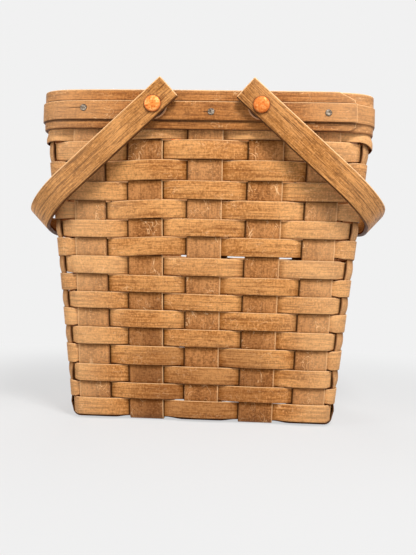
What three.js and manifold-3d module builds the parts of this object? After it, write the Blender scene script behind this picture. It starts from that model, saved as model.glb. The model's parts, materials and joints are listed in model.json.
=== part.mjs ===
// A woven splint basket with two swing handles, in millimetres, +Z up, standing on Z = 0.
// The face with the lapped rim ends looks towards -Y, and they lie near its right-hand corner, at +X.
import * as THREE from "three";
import { mergeVertices } from "three/addons/utils/BufferGeometryUtils.js";
import Module from "manifold-3d";

// Gap kept between pieces that touch on the real basket
const CLEARANCE = 0.3;

// Plan of the wall's middle surface at the floor, and how the walls lean out and stand upright under the rim
const BASE_HALF_WIDTH = 97.4;
const BASE_HALF_DEPTH = 58.5;
const SIDE_LEAN = 0.106;
const FRONT_LEAN = 0.095;
const LEAN_FADE_BELOW_RIM = 18;
const LEAN_FADE_LENGTH = 40;
const FRONT_RIM_BOW = 5.5;
const SIDE_RIM_BOW = 3;

// Uprights: wide splints that run up one wall, under the floor and up the opposite wall
const UPRIGHT_WIDTH = 25.4;
const OUTER_FRONT_UPRIGHT_WIDTH = 23.6;
const UPRIGHT_THICKNESS = 1.2;
const FRONT_UPRIGHTS = 5;
const SIDE_UPRIGHTS = 3;
const OUTER_INSET_BASE = 18;
const FRONT_OUTER_INSET_RIM = 36;
const SIDE_OUTER_INSET_RIM = 24;
const INNER_UPRIGHT_SHARE = 0.514;
const UPRIGHT_TOP_BELOW_RIM = 2;
const FLOOR_BEND_RADIUS = 5.4;

// Weavers: one hand-split strip for each row, from the floor up, with its ends lapped at the back
const WEAVER_WIDTHS = [
  13.1, 11.9, 13.1, 14.3, 13, 13.3, 12.3, 12.6, 13.5, 13.7, 12.8, 13.3, 13.5, 14.6, 13.9, 13.8, 13.4,
];
const WEAVER_THICKNESS = 1;
const ROW_GAP = 0.4;
const LOOSE_GAP = 0.9;
const LOOSE_GAP_ROW = 9;
const FIRST_ROW_HEIGHT = 2.7;
const EDGE_RELIEF = 0.2;
const FLOAT_RISE = 0.8;
const RIM_ROWS = 2;
const RIM_ROW_RELIEF = 0.1;
const EDGE_OVERRUN = 0.8;

// Rim: an outer and an inner band round the top rows, and a trim strip nailed over the outer band
const BAND_WIDTH = 28.3;
const BAND_THICKNESS = 2;
const BAND_ABOVE_TOP_ROW = 7;
const TRIM_WIDTH = 13.6;
const TRIM_THICKNESS = 1.5;
const TRIM_ABOVE_BAND_FOOT = 6.3;
const LAP_START_THICKNESS = 0.4;
const BAND_END_HEIGHT = 12.4;

// Nails through the rim
const NAIL_HEAD_RADIUS = 2.4;
const NAIL_HEAD_THICKNESS = 0.5;
const NAIL_SHANK_RADIUS = 0.9;
const NAIL_POINT_LENGTH = 1.2;
// The front nails stand a little off their uprights' centrelines: how far along the wall, and how far up
const NAIL_STRAYS = { front_left: [-3.9, 1.7], front_middle: [3.7, -0.5], front_right: [1.7, -0.4] };

// Swing handles: flat bentwood bows on rivets through the rim
const HANDLE_WIDTH = 19.2;
const HANDLE_THICKNESS = 3.9;
const LEFT_HANDLE_REACH = 126.8;
const RIGHT_HANDLE_REACH = 121.6;
const HANDLE_TAIL = 17;
const HANDLE_BEND_RADIUS = 38;
const HANDLE_ARCH = 4.9;
const HANDLE_HOLE_OFF_CENTRE = 1.5;
// Stiff rivets hold a lowered handle up by this many degrees, so that its bar stops short of the wall
const HANDLE_HELD_UP = 1.4;
const HANDLE_EDGE_ROUND = 0.8;
const PIVOT_INSIDE_UPRIGHT = 4.6;
const PIVOT_SHIFT = 1;
const PIVOT_BELOW_RIM = 11.8;
const RIVET_HEAD_RADIUS = 5.9;
const RIVET_HEAD_THICKNESS = 1.7;
const RIVET_HEAD_CHAMFER = 0.7;
const RIVET_SHANK_RADIUS = 2.4;
const RIVET_TAIL_RADIUS = 3.4;
const RIVET_TAIL_THICKNESS = 0.8;
const BURR_RADIUS = 5.5;
const BURR_THICKNESS = 1;
const WASHER_RADIUS = 12;
const WASHER_THICKNESS = 1.6;

const splintWood = { color: 0xb9824f, roughness: 0.62, metalness: 0 };
const handleWood = { color: 0xa8763f, roughness: 0.55, metalness: 0 };
const rimWood = { color: 0xb07a45, roughness: 0.6, metalness: 0 };
const copper = { color: 0xe08a4e, roughness: 0.35, metalness: 0.9 };
const steel = { color: 0x77716a, roughness: 0.45, metalness: 0.8 };
const leather = { color: 0xc08a5c, roughness: 0.75, metalness: 0 };

// Heights that follow from the rows
const ROWS = WEAVER_WIDTHS.length;
function rowFoot(row) {
  const below = WEAVER_WIDTHS.slice(0, row).reduce((sum, width) => sum + width + ROW_GAP, 0);
  return FIRST_ROW_HEIGHT + below + (row >= LOOSE_GAP_ROW ? LOOSE_GAP : 0);
}
const rimTop = rowFoot(ROWS - 1) + WEAVER_WIDTHS[ROWS - 1] + BAND_ABOVE_TOP_ROW;
const bandFoot = rimTop - BAND_WIDTH;
const trimFoot = bandFoot + TRIM_ABOVE_BAND_FOOT;
const nailHeight = trimFoot + TRIM_WIDTH / 2;
const pivotHeight = rimTop - PIVOT_BELOW_RIM;
const uprightTop = rimTop - UPRIGHT_TOP_BELOW_RIM;
const fadeStart = rimTop - LEAN_FADE_BELOW_RIM - LEAN_FADE_LENGTH;

// Offsets from the wall's middle surface, outwards
const weaverSeat = UPRIGHT_THICKNESS / 2 + CLEARANCE + WEAVER_THICKNESS / 2;
const rimSeat = weaverSeat + RIM_ROW_RELIEF + WEAVER_THICKNESS / 2 + CLEARANCE;
const trimSeat = rimSeat + BAND_THICKNESS + CLEARANCE;
const washerSeat = trimSeat + TRIM_THICKNESS + CLEARANCE;
const legSeat = washerSeat + WASHER_THICKNESS + CLEARANCE;
const rivetSeat = legSeat + HANDLE_THICKNESS + CLEARANCE;
const burrSeat = -rimSeat - BAND_THICKNESS - CLEARANCE;

// How far a wall has leaned out at a height: a straight lean that fades out under the rim
function leanOut(lean, z) {
  const into = THREE.MathUtils.clamp(z - fadeStart, 0, LEAN_FADE_LENGTH);
  return lean * (Math.min(z, fadeStart) + into - (into * into) / (2 * LEAN_FADE_LENGTH));
}
const halfWidthAt = (z) => BASE_HALF_WIDTH + leanOut(SIDE_LEAN, z);
const halfDepthAt = (z) => BASE_HALF_DEPTH + leanOut(FRONT_LEAN, z);

// The four faces in order round the basket, seen from above: front, right, back, left
const faces = [
  { along: [1, 0], out: [0, -1], count: FRONT_UPRIGHTS, long: true },
  { along: [0, 1], out: [1, 0], count: SIDE_UPRIGHTS, long: false },
  { along: [-1, 0], out: [0, 1], count: FRONT_UPRIGHTS, long: true },
  { along: [0, -1], out: [-1, 0], count: SIDE_UPRIGHTS, long: false },
];
const faceDistance = (face, z) => (face.long ? halfDepthAt(z) : halfWidthAt(z));
const faceHalfLength = (face, z) => (face.long ? halfWidthAt(z) : halfDepthAt(z));
const isOutermost = (face, index) => index === 0 || index === face.count - 1;

function halfUpright(face, index) {
  return (face.long && isOutermost(face, index) ? OUTER_FRONT_UPRIGHT_WIDTH : UPRIGHT_WIDTH) / 2;
}

// Where the centre of an upright crosses a face at a height, measured along the face
function uprightCentre(face, index, z) {
  const rimInset = face.long ? FRONT_OUTER_INSET_RIM : SIDE_OUTER_INSET_RIM;
  const inset = THREE.MathUtils.lerp(OUTER_INSET_BASE, rimInset, z / rimTop);
  const outer = faceHalfLength(face, z) - inset;
  const step = index - (face.count - 1) / 2;
  return Math.sign(step) * outer * (isOutermost(face, index) ? 1 : INNER_UPRIGHT_SHARE);
}

// A point of the wall and its outward normal, at a place along a face; the faces bow in towards their ends
function wallPoint(face, place, z) {
  const halfLength = faceHalfLength(face, z);
  const bow = ((face.long ? FRONT_RIM_BOW : SIDE_RIM_BOW) * z) / rimTop;
  const depth = faceDistance(face, z) - bow * (place / halfLength) ** 4;
  const slope = (4 * bow * place ** 3) / halfLength ** 4;
  const [along, out] = [face.along, face.out];
  const normal = new THREE.Vector2(out[0] + slope * along[0], out[1] + slope * along[1]).normalize();
  return {
    point: new THREE.Vector2(along[0] * place + out[0] * depth, along[1] * place + out[1] * depth),
    normal,
  };
}

// A place on the corner after a face: a quadratic curve from its last upright's edge to the next face's first
function cornerPoint(faceIndex, share, z) {
  const face = faces[faceIndex];
  const next = faces[(faceIndex + 1) % faces.length];
  const last = face.count - 1;
  const from = wallPoint(face, uprightCentre(face, last, z) + halfUpright(face, last) + EDGE_OVERRUN, z);
  const to = wallPoint(next, uprightCentre(next, 0, z) - halfUpright(next, 0) - EDGE_OVERRUN, z);
  const across = new THREE.Vector2(-from.normal.y, from.normal.x);
  const reach = to.point.clone().sub(from.point).dot(to.normal) / across.dot(to.normal);
  const apex = from.point.clone().addScaledVector(across, reach);
  const point = from.point.clone().multiplyScalar((1 - share) ** 2);
  point.addScaledVector(apex, 2 * share * (1 - share)).addScaledVector(to.point, share ** 2);
  const tangent = apex.clone().sub(from.point).multiplyScalar(1 - share);
  tangent.addScaledVector(to.point.clone().sub(apex), share);
  return { point, normal: new THREE.Vector2(tangent.y, -tangent.x).normalize() };
}

// Stations round the basket: the edges and the centre of each upright, and three on each corner.
// A station gives its point and its outward normal at any height.
const CORNER_SHARES = [0.2, 0.5, 0.8];
const stations = [];
let uprightCount = 0;
faces.forEach((face, faceIndex) => {
  for (let index = 0; index < face.count; index++) {
    for (const [part, step] of [["entry", -1], ["centre", 0], ["exit", 1]]) {
      const away = step * (halfUpright(face, index) + EDGE_OVERRUN);
      const at = (z) => wallPoint(face, uprightCentre(face, index, z) + away, z);
      stations.push({ part, upright: uprightCount, at });
    }
    uprightCount++;
  }
  for (const share of CORNER_SHARES) {
    const at = (z) => cornerPoint(faceIndex, share, z);
    stations.push({ part: "corner", upright: uprightCount - 1, share, at });
  }
});
const stationOf = (upright, part) => stations.findIndex((s) => s.upright === upright && s.part === part);
const firstUprightOf = (faceIndex) => faces.slice(0, faceIndex).reduce((sum, face) => sum + face.count, 0);

// Stations once round from `first` and on to `last` again, so that the strip lies double between them
function lappedPath(first, last) {
  const lap = last - first;
  return Array.from({ length: stations.length + lap + 1 }, (_, n) => ({
    station: stations[(first + n) % stations.length],
    layer: n <= lap ? "start" : n >= stations.length ? "end" : "single",
    lapShare: (n < stations.length ? n : n - stations.length) / lap,
  }));
}

// A closed solid from cross-sections of four corners each; a ring joins its last section to its first
function solidFromSections(sections, ring = false) {
  const position = sections.flatMap((s) => s.flatMap((p) => [p.x, p.y, p.z]));
  const index = [];
  const steps = ring ? sections.length : sections.length - 1;
  for (let i = 0; i < steps; i++) {
    const [a, b] = [4 * i, 4 * ((i + 1) % sections.length)];
    for (let k = 0; k < 4; k++) {
      const l = (k + 1) % 4;
      index.push(a + k, b + l, b + k, a + k, a + l, b + l);
    }
  }
  if (!ring) {
    const end = 4 * (sections.length - 1);
    index.push(0, 2, 1, 0, 3, 2, end, end + 1, end + 2, end, end + 2, end + 3);
  }
  const geometry = new THREE.BufferGeometry();
  geometry.setAttribute("position", new THREE.Float32BufferAttribute(position, 3));
  return geometry.setIndex(index);
}

// A section of a strip standing on edge, with its inner face at `inner`.
// Its foot lies further in by `footInset`.
function standingSection(station, foot, head, inner, thickness, footInset = 0) {
  const corner = (z, offset) => {
    const { point, normal } = station.at(z);
    return new THREE.Vector3(point.x + normal.x * offset, point.y + normal.y * offset, z);
  };
  return [
    corner(foot, inner - footInset),
    corner(head, inner),
    corner(head, inner + thickness),
    corner(foot, inner + thickness - footInset),
  ];
}

// A row passes outside an upright where this is 1 and inside where it is -1
const weaverSide = (upright, row) => ((upright + row) % 2 === 0 ? 1 : -1);

// How far the floor bend's inner face lies inside a straight upright's, at a height
function bendInset(z) {
  const below = Math.max(0, UPRIGHT_THICKNESS / 2 + FLOOR_BEND_RADIUS - z);
  const innerRadius = FLOOR_BEND_RADIUS - UPRIGHT_THICKNESS / 2;
  return innerRadius - Math.sqrt(innerRadius ** 2 - below ** 2);
}

// Offset of a weaver's middle surface at a station, before its lap
function weaverOffset(station, row, edge, peak) {
  const side = weaverSide(station.upright, row);
  if (station.part === "corner") return side * edge * (1 - 2 * station.share);
  return side * (station.part === "centre" ? peak : edge);
}

function weaverGeometry(row) {
  const foot = rowFoot(row);
  const head = foot + WEAVER_WIDTHS[row];
  const edge = weaverSeat + EDGE_RELIEF;
  const lapStep = WEAVER_THICKNESS + CLEARANCE;
  // The lap lies outside one upright of the back wall and inside the two beside it, and moves from row to row
  const backFirst = firstUprightOf(2);
  const lapStart = backFirst + ((backFirst + row) % 2 === 0 ? 1 : row % 4 === 1 ? 0 : 2);
  const lapped = lappedPath(stationOf(lapStart, "centre"), stationOf(lapStart + 2, "centre"));
  // It lies flat where it passes inside an upright, and bows out where it passes outside
  const bows = ({ station, layer }) => layer !== "single" || weaverSide(station.upright, row) > 0;
  const path = lapped.filter((step) => step.station.part !== "centre" || bows(step));
  const sections = path.map(({ station, layer }) => {
    let offset = weaverOffset(station, row, edge, edge + FLOAT_RISE);
    const footInset = offset < 0 ? bendInset(foot) : 0;
    if (layer === "start" && offset < 0) offset -= lapStep;
    if (layer === "end" && offset > 0) offset += lapStep;
    return standingSection(station, foot, head, offset - WEAVER_THICKNESS / 2, WEAVER_THICKNESS, footInset);
  });
  return solidFromSections(sections);
}

// The rows held in the rim lie flat and end edge to edge
function rimWeaverGeometry(row) {
  const foot = rowFoot(row);
  const edge = weaverSeat + RIM_ROW_RELIEF;
  const sections = stations
    .filter(({ part }) => part !== "centre")
    .map((station) => {
      const inner = weaverOffset(station, row, edge, edge) - WEAVER_THICKNESS / 2;
      return standingSection(station, foot, foot + WEAVER_WIDTHS[row], inner, WEAVER_THICKNESS);
    });
  return solidFromSections(sections, true);
}

// Places of an upright up a wall, from the top down to the floor bend
const FADE_STEPS = 4;
function wallPlaces(face, index) {
  const heights = [uprightTop];
  for (let k = FADE_STEPS; k >= 0; k--) heights.push(fadeStart + (k / FADE_STEPS) * LEAN_FADE_LENGTH);
  heights.push(fadeStart / 2);
  return heights.map((z) => {
    const { point, normal } = wallPoint(face, uprightCentre(face, index, z), z);
    const slope = (faceDistance(face, z + 1) - faceDistance(face, z - 1)) / 2;
    return {
      place: new THREE.Vector3(point.x, point.y, z),
      across: new THREE.Vector3(-normal.y, normal.x, 0),
      normal: new THREE.Vector3(-normal.x, -normal.y, slope).normalize(),
    };
  });
}

// Places round the bend from a wall to the floor at level `level`
const BEND_STEPS = 4;
function bendPlaces(face, index, level) {
  const lean = face.long ? FRONT_LEAN : SIDE_LEAN;
  const turn = Math.PI / 2 - Math.atan(lean);
  const height = level + FLOOR_BEND_RADIUS;
  const centre = faceDistance(face, 0) + lean * height - FLOOR_BEND_RADIUS / Math.cos(Math.atan(lean));
  const outward = new THREE.Vector3(face.out[0], face.out[1], 0);
  const across = new THREE.Vector3(face.along[0], face.along[1], 0);
  return Array.from({ length: BEND_STEPS + 1 }, (_, k) => {
    const angle = turn * (1 - k / BEND_STEPS);
    const away = centre + FLOOR_BEND_RADIUS * Math.sin(angle);
    return {
      place: across
        .clone()
        .multiplyScalar(uprightCentre(face, index, 0))
        .addScaledVector(outward, away)
        .setZ(height - FLOOR_BEND_RADIUS * Math.cos(angle)),
      across,
      normal: new THREE.Vector3(0, 0, Math.cos(angle)).addScaledVector(outward, -Math.sin(angle)),
    };
  });
}

// The floor is woven too: where an upright crosses another it lies on the ground or over the other one
const lowLevel = UPRIGHT_THICKNESS / 2;
const highLevel = lowLevel + UPRIGHT_THICKNESS + CLEARANCE;
function floorLevel(faceIndex, index, crossing) {
  return (index + crossing + faceIndex) % 2 === 0 ? highLevel : lowLevel;
}

function uprightGeometry(faceIndex, index) {
  const near = faces[faceIndex];
  const far = faces[faceIndex + 2];
  const crossingFace = faces[1 - faceIndex];
  const farIndex = far.count - 1 - index;
  const outward = new THREE.Vector3(near.out[0], near.out[1], 0);
  const across = new THREE.Vector3(near.along[0], near.along[1], 0);
  const towards = near.out[0] * crossingFace.along[0] + near.out[1] * crossingFace.along[1];
  const crossings = Array.from({ length: crossingFace.count }, (_, j) => ({
    away: towards * uprightCentre(crossingFace, j, 0),
    reach: halfUpright(crossingFace, j) + EDGE_OVERRUN,
    level: floorLevel(faceIndex, index, j),
  })).sort((a, b) => b.away - a.away);
  const floorPlace = (away, level) => ({
    place: across
      .clone()
      .multiplyScalar(uprightCentre(near, index, 0))
      .addScaledVector(outward, away)
      .setZ(level),
    across,
    normal: new THREE.Vector3(0, 0, 1),
  });
  const floor = crossings.flatMap(({ away, reach, level }) => [
    floorPlace(away + reach, level),
    floorPlace(away - reach, level),
  ]);
  // The level of the outermost crossings is kept into the bends
  const nearLevel = crossings[0].level;
  const farLevel = crossings[crossings.length - 1].level;
  const farSide = [...wallPlaces(far, farIndex), ...bendPlaces(far, farIndex, farLevel)].reverse();
  const places = [
    ...wallPlaces(near, index),
    ...bendPlaces(near, index, nearLevel),
    ...floor.slice(1, -1),
    ...farSide.map(({ place, across: wide, normal }) => ({ place, across: wide.clone().negate(), normal })),
  ];
  const half = halfUpright(near, index);
  return solidFromSections(
    places.map(({ place, across: wide, normal }) => {
      const corner = (side, level) =>
        place
          .clone()
          .addScaledVector(wide, side * half)
          .addScaledVector(normal, (level * UPRIGHT_THICKNESS) / 2);
      return [corner(-1, -1), corner(-1, 1), corner(1, 1), corner(1, -1)];
    }),
  );
}

// The outer band and the trim lap over their own thinned starts, from the last front upright to the corner
const lapUpright = FRONT_UPRIGHTS - 1;
const rimPath = lappedPath(stationOf(lapUpright, "entry"), stationOf(lapUpright, "corner")).filter(
  ({ station, layer }) => station.part !== "centre" || layer !== "single",
);
const thinned = (lapShare, thickness) => THREE.MathUtils.lerp(LAP_START_THICKNESS, thickness, lapShare);

// Offset of the outer band's outer face
function bandFace(layer, lapShare) {
  if (layer === "single") return rimSeat + BAND_THICKNESS;
  return rimSeat + thinned(lapShare, BAND_THICKNESS) + CLEARANCE + BAND_THICKNESS;
}

function outerBandGeometry() {
  const sections = rimPath.map(({ station, layer, lapShare }, i) => {
    const start = thinned(lapShare, BAND_THICKNESS);
    const thickness = layer === "start" ? start : BAND_THICKNESS;
    const inner = layer === "end" ? rimSeat + start + CLEARANCE : rimSeat;
    const clipped = i === rimPath.length - 1 ? (BAND_WIDTH - BAND_END_HEIGHT) / 2 : 0;
    return standingSection(station, bandFoot + clipped, rimTop - clipped, inner, thickness);
  });
  return solidFromSections(sections);
}

function trimGeometry() {
  const sections = rimPath.map(({ station, layer, lapShare }) => {
    const start = thinned(lapShare, TRIM_THICKNESS);
    const thickness = layer === "start" ? start : TRIM_THICKNESS;
    const seat = bandFace(layer, lapShare) + CLEARANCE;
    const inner = layer === "end" ? seat + start + CLEARANCE : seat;
    return standingSection(station, trimFoot, trimFoot + TRIM_WIDTH, inner, thickness);
  });
  return solidFromSections(sections);
}

function innerBandGeometry() {
  const sections = stations
    .filter(({ part }) => part !== "centre")
    .map((station) => standingSection(station, bandFoot, rimTop, -rimSeat - BAND_THICKNESS, BAND_THICKNESS));
  return solidFromSections(sections, true);
}

// A round piece on a line through the wall: a profile of [radius, distance out] pairs turned about that line
function turnedPiece(profile, { place, direction }, sides) {
  const points = profile.map(([radius, out]) => new THREE.Vector2(radius, out));
  const turn = new THREE.Quaternion().setFromUnitVectors(new THREE.Vector3(0, 1, 0), direction);
  return new THREE.LatheGeometry(points, sides).applyQuaternion(turn).translate(place.x, place.y, place.z);
}

// Nails go through every second upright, on a line square to the wall, near the middle of the trim
const NAIL_SIDES = 8;
const nailNames = [
  "front_left",
  "front_middle",
  "front_right",
  "right",
  "back_right",
  "back_middle",
  "back_left",
  "left",
];
const nails = nailNames.map((name, k) => {
  const upright = 2 * k;
  const faceIndex = faces.findLastIndex((face, number) => firstUprightOf(number) <= upright);
  const face = faces[faceIndex];
  const [along, up] = NAIL_STRAYS[name] ?? [0, 0];
  const height = nailHeight + up;
  const centre = uprightCentre(face, upright - firstUprightOf(faceIndex), height);
  const { point, normal } = wallPoint(face, centre + along, height);
  return {
    name,
    upright,
    place: new THREE.Vector3(point.x, point.y, height),
    direction: new THREE.Vector3(normal.x, normal.y, 0),
  };
});

// Offset of the trim's outer face where a nail goes through it
function nailSeat(upright) {
  if (upright !== lapUpright) return trimSeat + TRIM_THICKNESS + CLEARANCE;
  const crossing = stationOf(upright, "centre");
  const { lapShare } = rimPath.find(({ station }) => station === stations[crossing]);
  const seat = bandFace("end", lapShare) + CLEARANCE + thinned(lapShare, TRIM_THICKNESS);
  return seat + CLEARANCE + TRIM_THICKNESS + CLEARANCE;
}

function nailGeometry(nail) {
  const seat = nailSeat(nail.upright);
  const profile = [
    [0, burrSeat - NAIL_POINT_LENGTH],
    [NAIL_SHANK_RADIUS, burrSeat],
    [NAIL_SHANK_RADIUS, seat],
    [NAIL_HEAD_RADIUS, seat],
    [NAIL_HEAD_RADIUS, seat + NAIL_HEAD_THICKNESS],
    [0, seat + NAIL_HEAD_THICKNESS],
  ];
  return turnedPiece(profile, nail, NAIL_SIDES);
}

// Rivets lie along Y, two in the front wall and two in the back wall, each through the upright beside the
// middle one, a little nearer the middle than that upright's centreline
const RIVET_SIDES = 16;
const rimFace = halfDepthAt(rimTop);
const [frontFace] = faces;
const rivetedUpright = (frontFace.count + 1) / 2;
const pivotHalfSpacing = uprightCentre(frontFace, rivetedUpright, pivotHeight) - PIVOT_INSIDE_UPRIGHT;
const pivots = [
  { name: "front_left", x: PIVOT_SHIFT - pivotHalfSpacing, side: -1 },
  { name: "front_right", x: PIVOT_SHIFT + pivotHalfSpacing, side: -1 },
  { name: "back_left", x: PIVOT_SHIFT - pivotHalfSpacing, side: 1 },
  { name: "back_right", x: PIVOT_SHIFT + pivotHalfSpacing, side: 1 },
].map((pivot) => ({
  ...pivot,
  place: new THREE.Vector3(pivot.x, pivot.side * rimFace, pivotHeight),
  direction: new THREE.Vector3(0, pivot.side, 0),
}));

function rivetGeometry(pivot) {
  const tail = burrSeat - BURR_THICKNESS - CLEARANCE;
  const top = rivetSeat + RIVET_HEAD_THICKNESS;
  const profile = [
    [0, tail - RIVET_TAIL_THICKNESS],
    [RIVET_TAIL_RADIUS, tail],
    [RIVET_SHANK_RADIUS, tail],
    [RIVET_SHANK_RADIUS, rivetSeat],
    [RIVET_HEAD_RADIUS, rivetSeat],
    [RIVET_HEAD_RADIUS, top - RIVET_HEAD_CHAMFER],
    [RIVET_HEAD_RADIUS - RIVET_HEAD_CHAMFER, top],
    [0, top],
  ];
  return turnedPiece(profile, pivot, RIVET_SIDES);
}

function ringGeometry(pivot, radius, from, thickness) {
  const hole = RIVET_SHANK_RADIUS + CLEARANCE;
  const to = from + thickness;
  const profile = [[hole, from], [radius, from], [radius, to], [hole, to], [hole, from]];
  return turnedPiece(profile, pivot, RIVET_SIDES);
}

// Half the outline of a bow, from the tail of a leg to the middle of the bar.
// It lies at a distance `offset` out from the bow's centreline.
const BOW_BEND_STEPS = 6;
const BOW_ARCH_STEPS = 3;
const legMiddle = rimFace + legSeat + HANDLE_THICKNESS / 2;
function halfBow(handleReach, offset) {
  const half = legMiddle + offset;
  const radius = HANDLE_BEND_RADIUS + offset;
  const crown = handleReach - HANDLE_THICKNESS / 2 + offset;
  const bendCentre = crown - HANDLE_ARCH - radius;
  const archAngle = Math.atan((2 * HANDLE_ARCH) / (legMiddle - HANDLE_BEND_RADIUS));
  const points = [new THREE.Vector2(-HANDLE_TAIL, -half)];
  for (let k = 0; k <= BOW_BEND_STEPS; k++) {
    const angle = (k / BOW_BEND_STEPS) * (Math.PI / 2 - archAngle);
    const reach = bendCentre + radius * Math.sin(angle);
    points.push(new THREE.Vector2(reach, -half + radius * (1 - Math.cos(angle))));
  }
  const shoulder = points[points.length - 1];
  for (let k = 1; k <= BOW_ARCH_STEPS; k++) {
    const rest = 1 - k / BOW_ARCH_STEPS;
    points.push(new THREE.Vector2(crown - (crown - shoulder.x) * rest ** 2, shoulder.y * rest));
  }
  return points;
}

// A bow lies along +X from its pivots on the Y axis, with its width along Z.
// Its holes lie nearer to its lower edge: `up` is 1 where the upper edge is at +Z, and -1 where it is at -Z.
function handleGeometry(handleReach, up) {
  const wholeBow = (offset) => {
    const points = halfBow(handleReach, offset);
    const mirrored = points.slice(0, -1).map((p) => new THREE.Vector2(p.x, -p.y));
    return [...points, ...mirrored.reverse()];
  };
  const outline = [...wholeBow(HANDLE_THICKNESS / 2), ...wholeBow(-HANDLE_THICKNESS / 2).reverse()];
  const geometry = new THREE.ExtrudeGeometry(new THREE.Shape(outline), {
    depth: HANDLE_WIDTH - 2 * HANDLE_EDGE_ROUND,
    bevelSize: HANDLE_EDGE_ROUND,
    bevelThickness: HANDLE_EDGE_ROUND,
    bevelOffset: -HANDLE_EDGE_ROUND,
    bevelSegments: 1,
  });
  return geometry.translate(0, 0, HANDLE_EDGE_ROUND - HANDLE_WIDTH / 2 + up * HANDLE_HOLE_OFF_CENTRE);
}

// How far below level a handle can go, until its bar meets the side wall's floats, found by halving.
// The bar is tried at its middle and at its shoulders, because both it and the wall are bowed.
const HALVINGS = 40;
function lowestAngle(pivotDistance, handleReach) {
  const innerBow = halfBow(handleReach, -HANDLE_THICKNESS / 2);
  const lowerEdge = HANDLE_WIDTH / 2 - HANDLE_HOLE_OFF_CENTRE;
  const shoulder = innerBow[1 + BOW_BEND_STEPS];
  const crown = innerBow[innerBow.length - 1];
  const floatFace = weaverSeat + EDGE_RELIEF + FLOAT_RISE + WEAVER_THICKNESS / 2;
  const gap = (angle) =>
    Math.min(
      ...[shoulder, crown].map(({ x: reach, y: place }) => {
        const x = pivotDistance + reach * Math.cos(angle) - lowerEdge * Math.sin(angle);
        const z = pivotHeight - reach * Math.sin(angle) - lowerEdge * Math.cos(angle);
        return x - wallPoint(faces[1], place, z).point.x - floatFace - CLEARANCE;
      }),
    );
  let [clear, blocked] = [0, Math.PI / 2];
  for (let k = 0; k < HALVINGS; k++) {
    const middle = (clear + blocked) / 2;
    if (gap(middle) > 0) clear = middle;
    else blocked = middle;
  }
  return clear;
}

const wasm = await Module();
wasm.setup();

const MERGE_DISTANCE = 1e-4;
function toManifold(geometry) {
  const bare = geometry.clone();
  bare.deleteAttribute("normal");
  bare.deleteAttribute("uv");
  const merged = mergeVertices(bare, MERGE_DISTANCE);
  const vertProperties = merged.attributes.position.array;
  const triVerts = new Uint32Array(merged.index.array);
  return new wasm.Manifold(new wasm.Mesh({ numProp: 3, vertProperties, triVerts }));
}

// The geometry with round holes drilled along the given lines
function drilled(geometry, holes) {
  let solid = toManifold(geometry);
  for (const hole of holes) {
    const { radius, sides, length } = hole;
    const drill = [[0, -length], [radius, -length], [radius, length], [0, length]];
    solid = solid.subtract(toManifold(turnedPiece(drill, hole, sides)));
  }
  const { vertProperties, triVerts } = solid.getMesh();
  const cut = new THREE.BufferGeometry();
  cut.setAttribute("position", new THREE.BufferAttribute(vertProperties, 3));
  return cut.setIndex(new THREE.BufferAttribute(triVerts, 1));
}

const DRILL_LENGTH = 14;
const NAIL_HOLE_SIDES = 6;
const RIVET_HOLE_SIDES = 10;
const nailHole = { radius: NAIL_SHANK_RADIUS + CLEARANCE, sides: NAIL_HOLE_SIDES, length: DRILL_LENGTH };
const rivetHole = { radius: RIVET_SHANK_RADIUS + CLEARANCE, sides: RIVET_HOLE_SIDES, length: DRILL_LENGTH };
const nailHoles = nails.map((nail) => ({ ...nail, ...nailHole }));
const rivetHoles = pivots.map((pivot) => ({ ...pivot, ...rivetHole }));
const rimHoles = [...nailHoles, ...rivetHoles];
const nailHolesAt = (...uprights) => nailHoles.filter(({ upright }) => uprights.includes(upright));

const basket = new THREE.Group();
function add(name, geometry, look, parent = basket) {
  const mesh = new THREE.Mesh(geometry, new THREE.MeshStandardMaterial(look));
  mesh.name = name;
  parent.add(mesh);
}

// Front-to-back uprights from left to right: nails go through every second one, rivets through the others
for (let i = 0; i < FRONT_UPRIGHTS; i++) {
  const backUpright = firstUprightOf(2) + FRONT_UPRIGHTS - 1 - i;
  const holes = i % 2 === 0 ? nailHolesAt(i, backUpright) : rivetHoles;
  add(`front_back_upright_${i + 1}`, drilled(uprightGeometry(0, i), holes), splintWood);
}

// Left-to-right uprights from front to back
for (let i = 0; i < SIDE_UPRIGHTS; i++) {
  const rightUpright = firstUprightOf(1) + i;
  const leftUpright = firstUprightOf(3) + SIDE_UPRIGHTS - 1 - i;
  const geometry = drilled(uprightGeometry(1, i), nailHolesAt(rightUpright, leftUpright));
  add(`left_right_upright_${i + 1}`, geometry, splintWood);
}

for (let row = 0; row < ROWS; row++) {
  const name = `weaver_row_${String(row + 1).padStart(2, "0")}`;
  const inRim = row >= ROWS - RIM_ROWS;
  add(name, inRim ? drilled(rimWeaverGeometry(row), rimHoles) : weaverGeometry(row), splintWood);
}

add("rim_outer_band", drilled(outerBandGeometry(), rimHoles), rimWood);
add("rim_inner_band", drilled(innerBandGeometry(), rimHoles), rimWood);
add("rim_trim_strip", drilled(trimGeometry(), rimHoles), rimWood);

for (const nail of nails) add(`nail_${nail.name}`, nailGeometry(nail), steel);

for (const pivot of pivots) {
  const burr = ringGeometry(pivot, BURR_RADIUS, burrSeat - BURR_THICKNESS, BURR_THICKNESS);
  const washer = ringGeometry(pivot, WASHER_RADIUS, washerSeat, WASHER_THICKNESS);
  add(`rivet_${pivot.name}`, rivetGeometry(pivot), copper);
  add(`rivet_burr_${pivot.name}`, burr, copper);
  add(`washer_${pivot.name}`, washer, leather);
}

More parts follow.
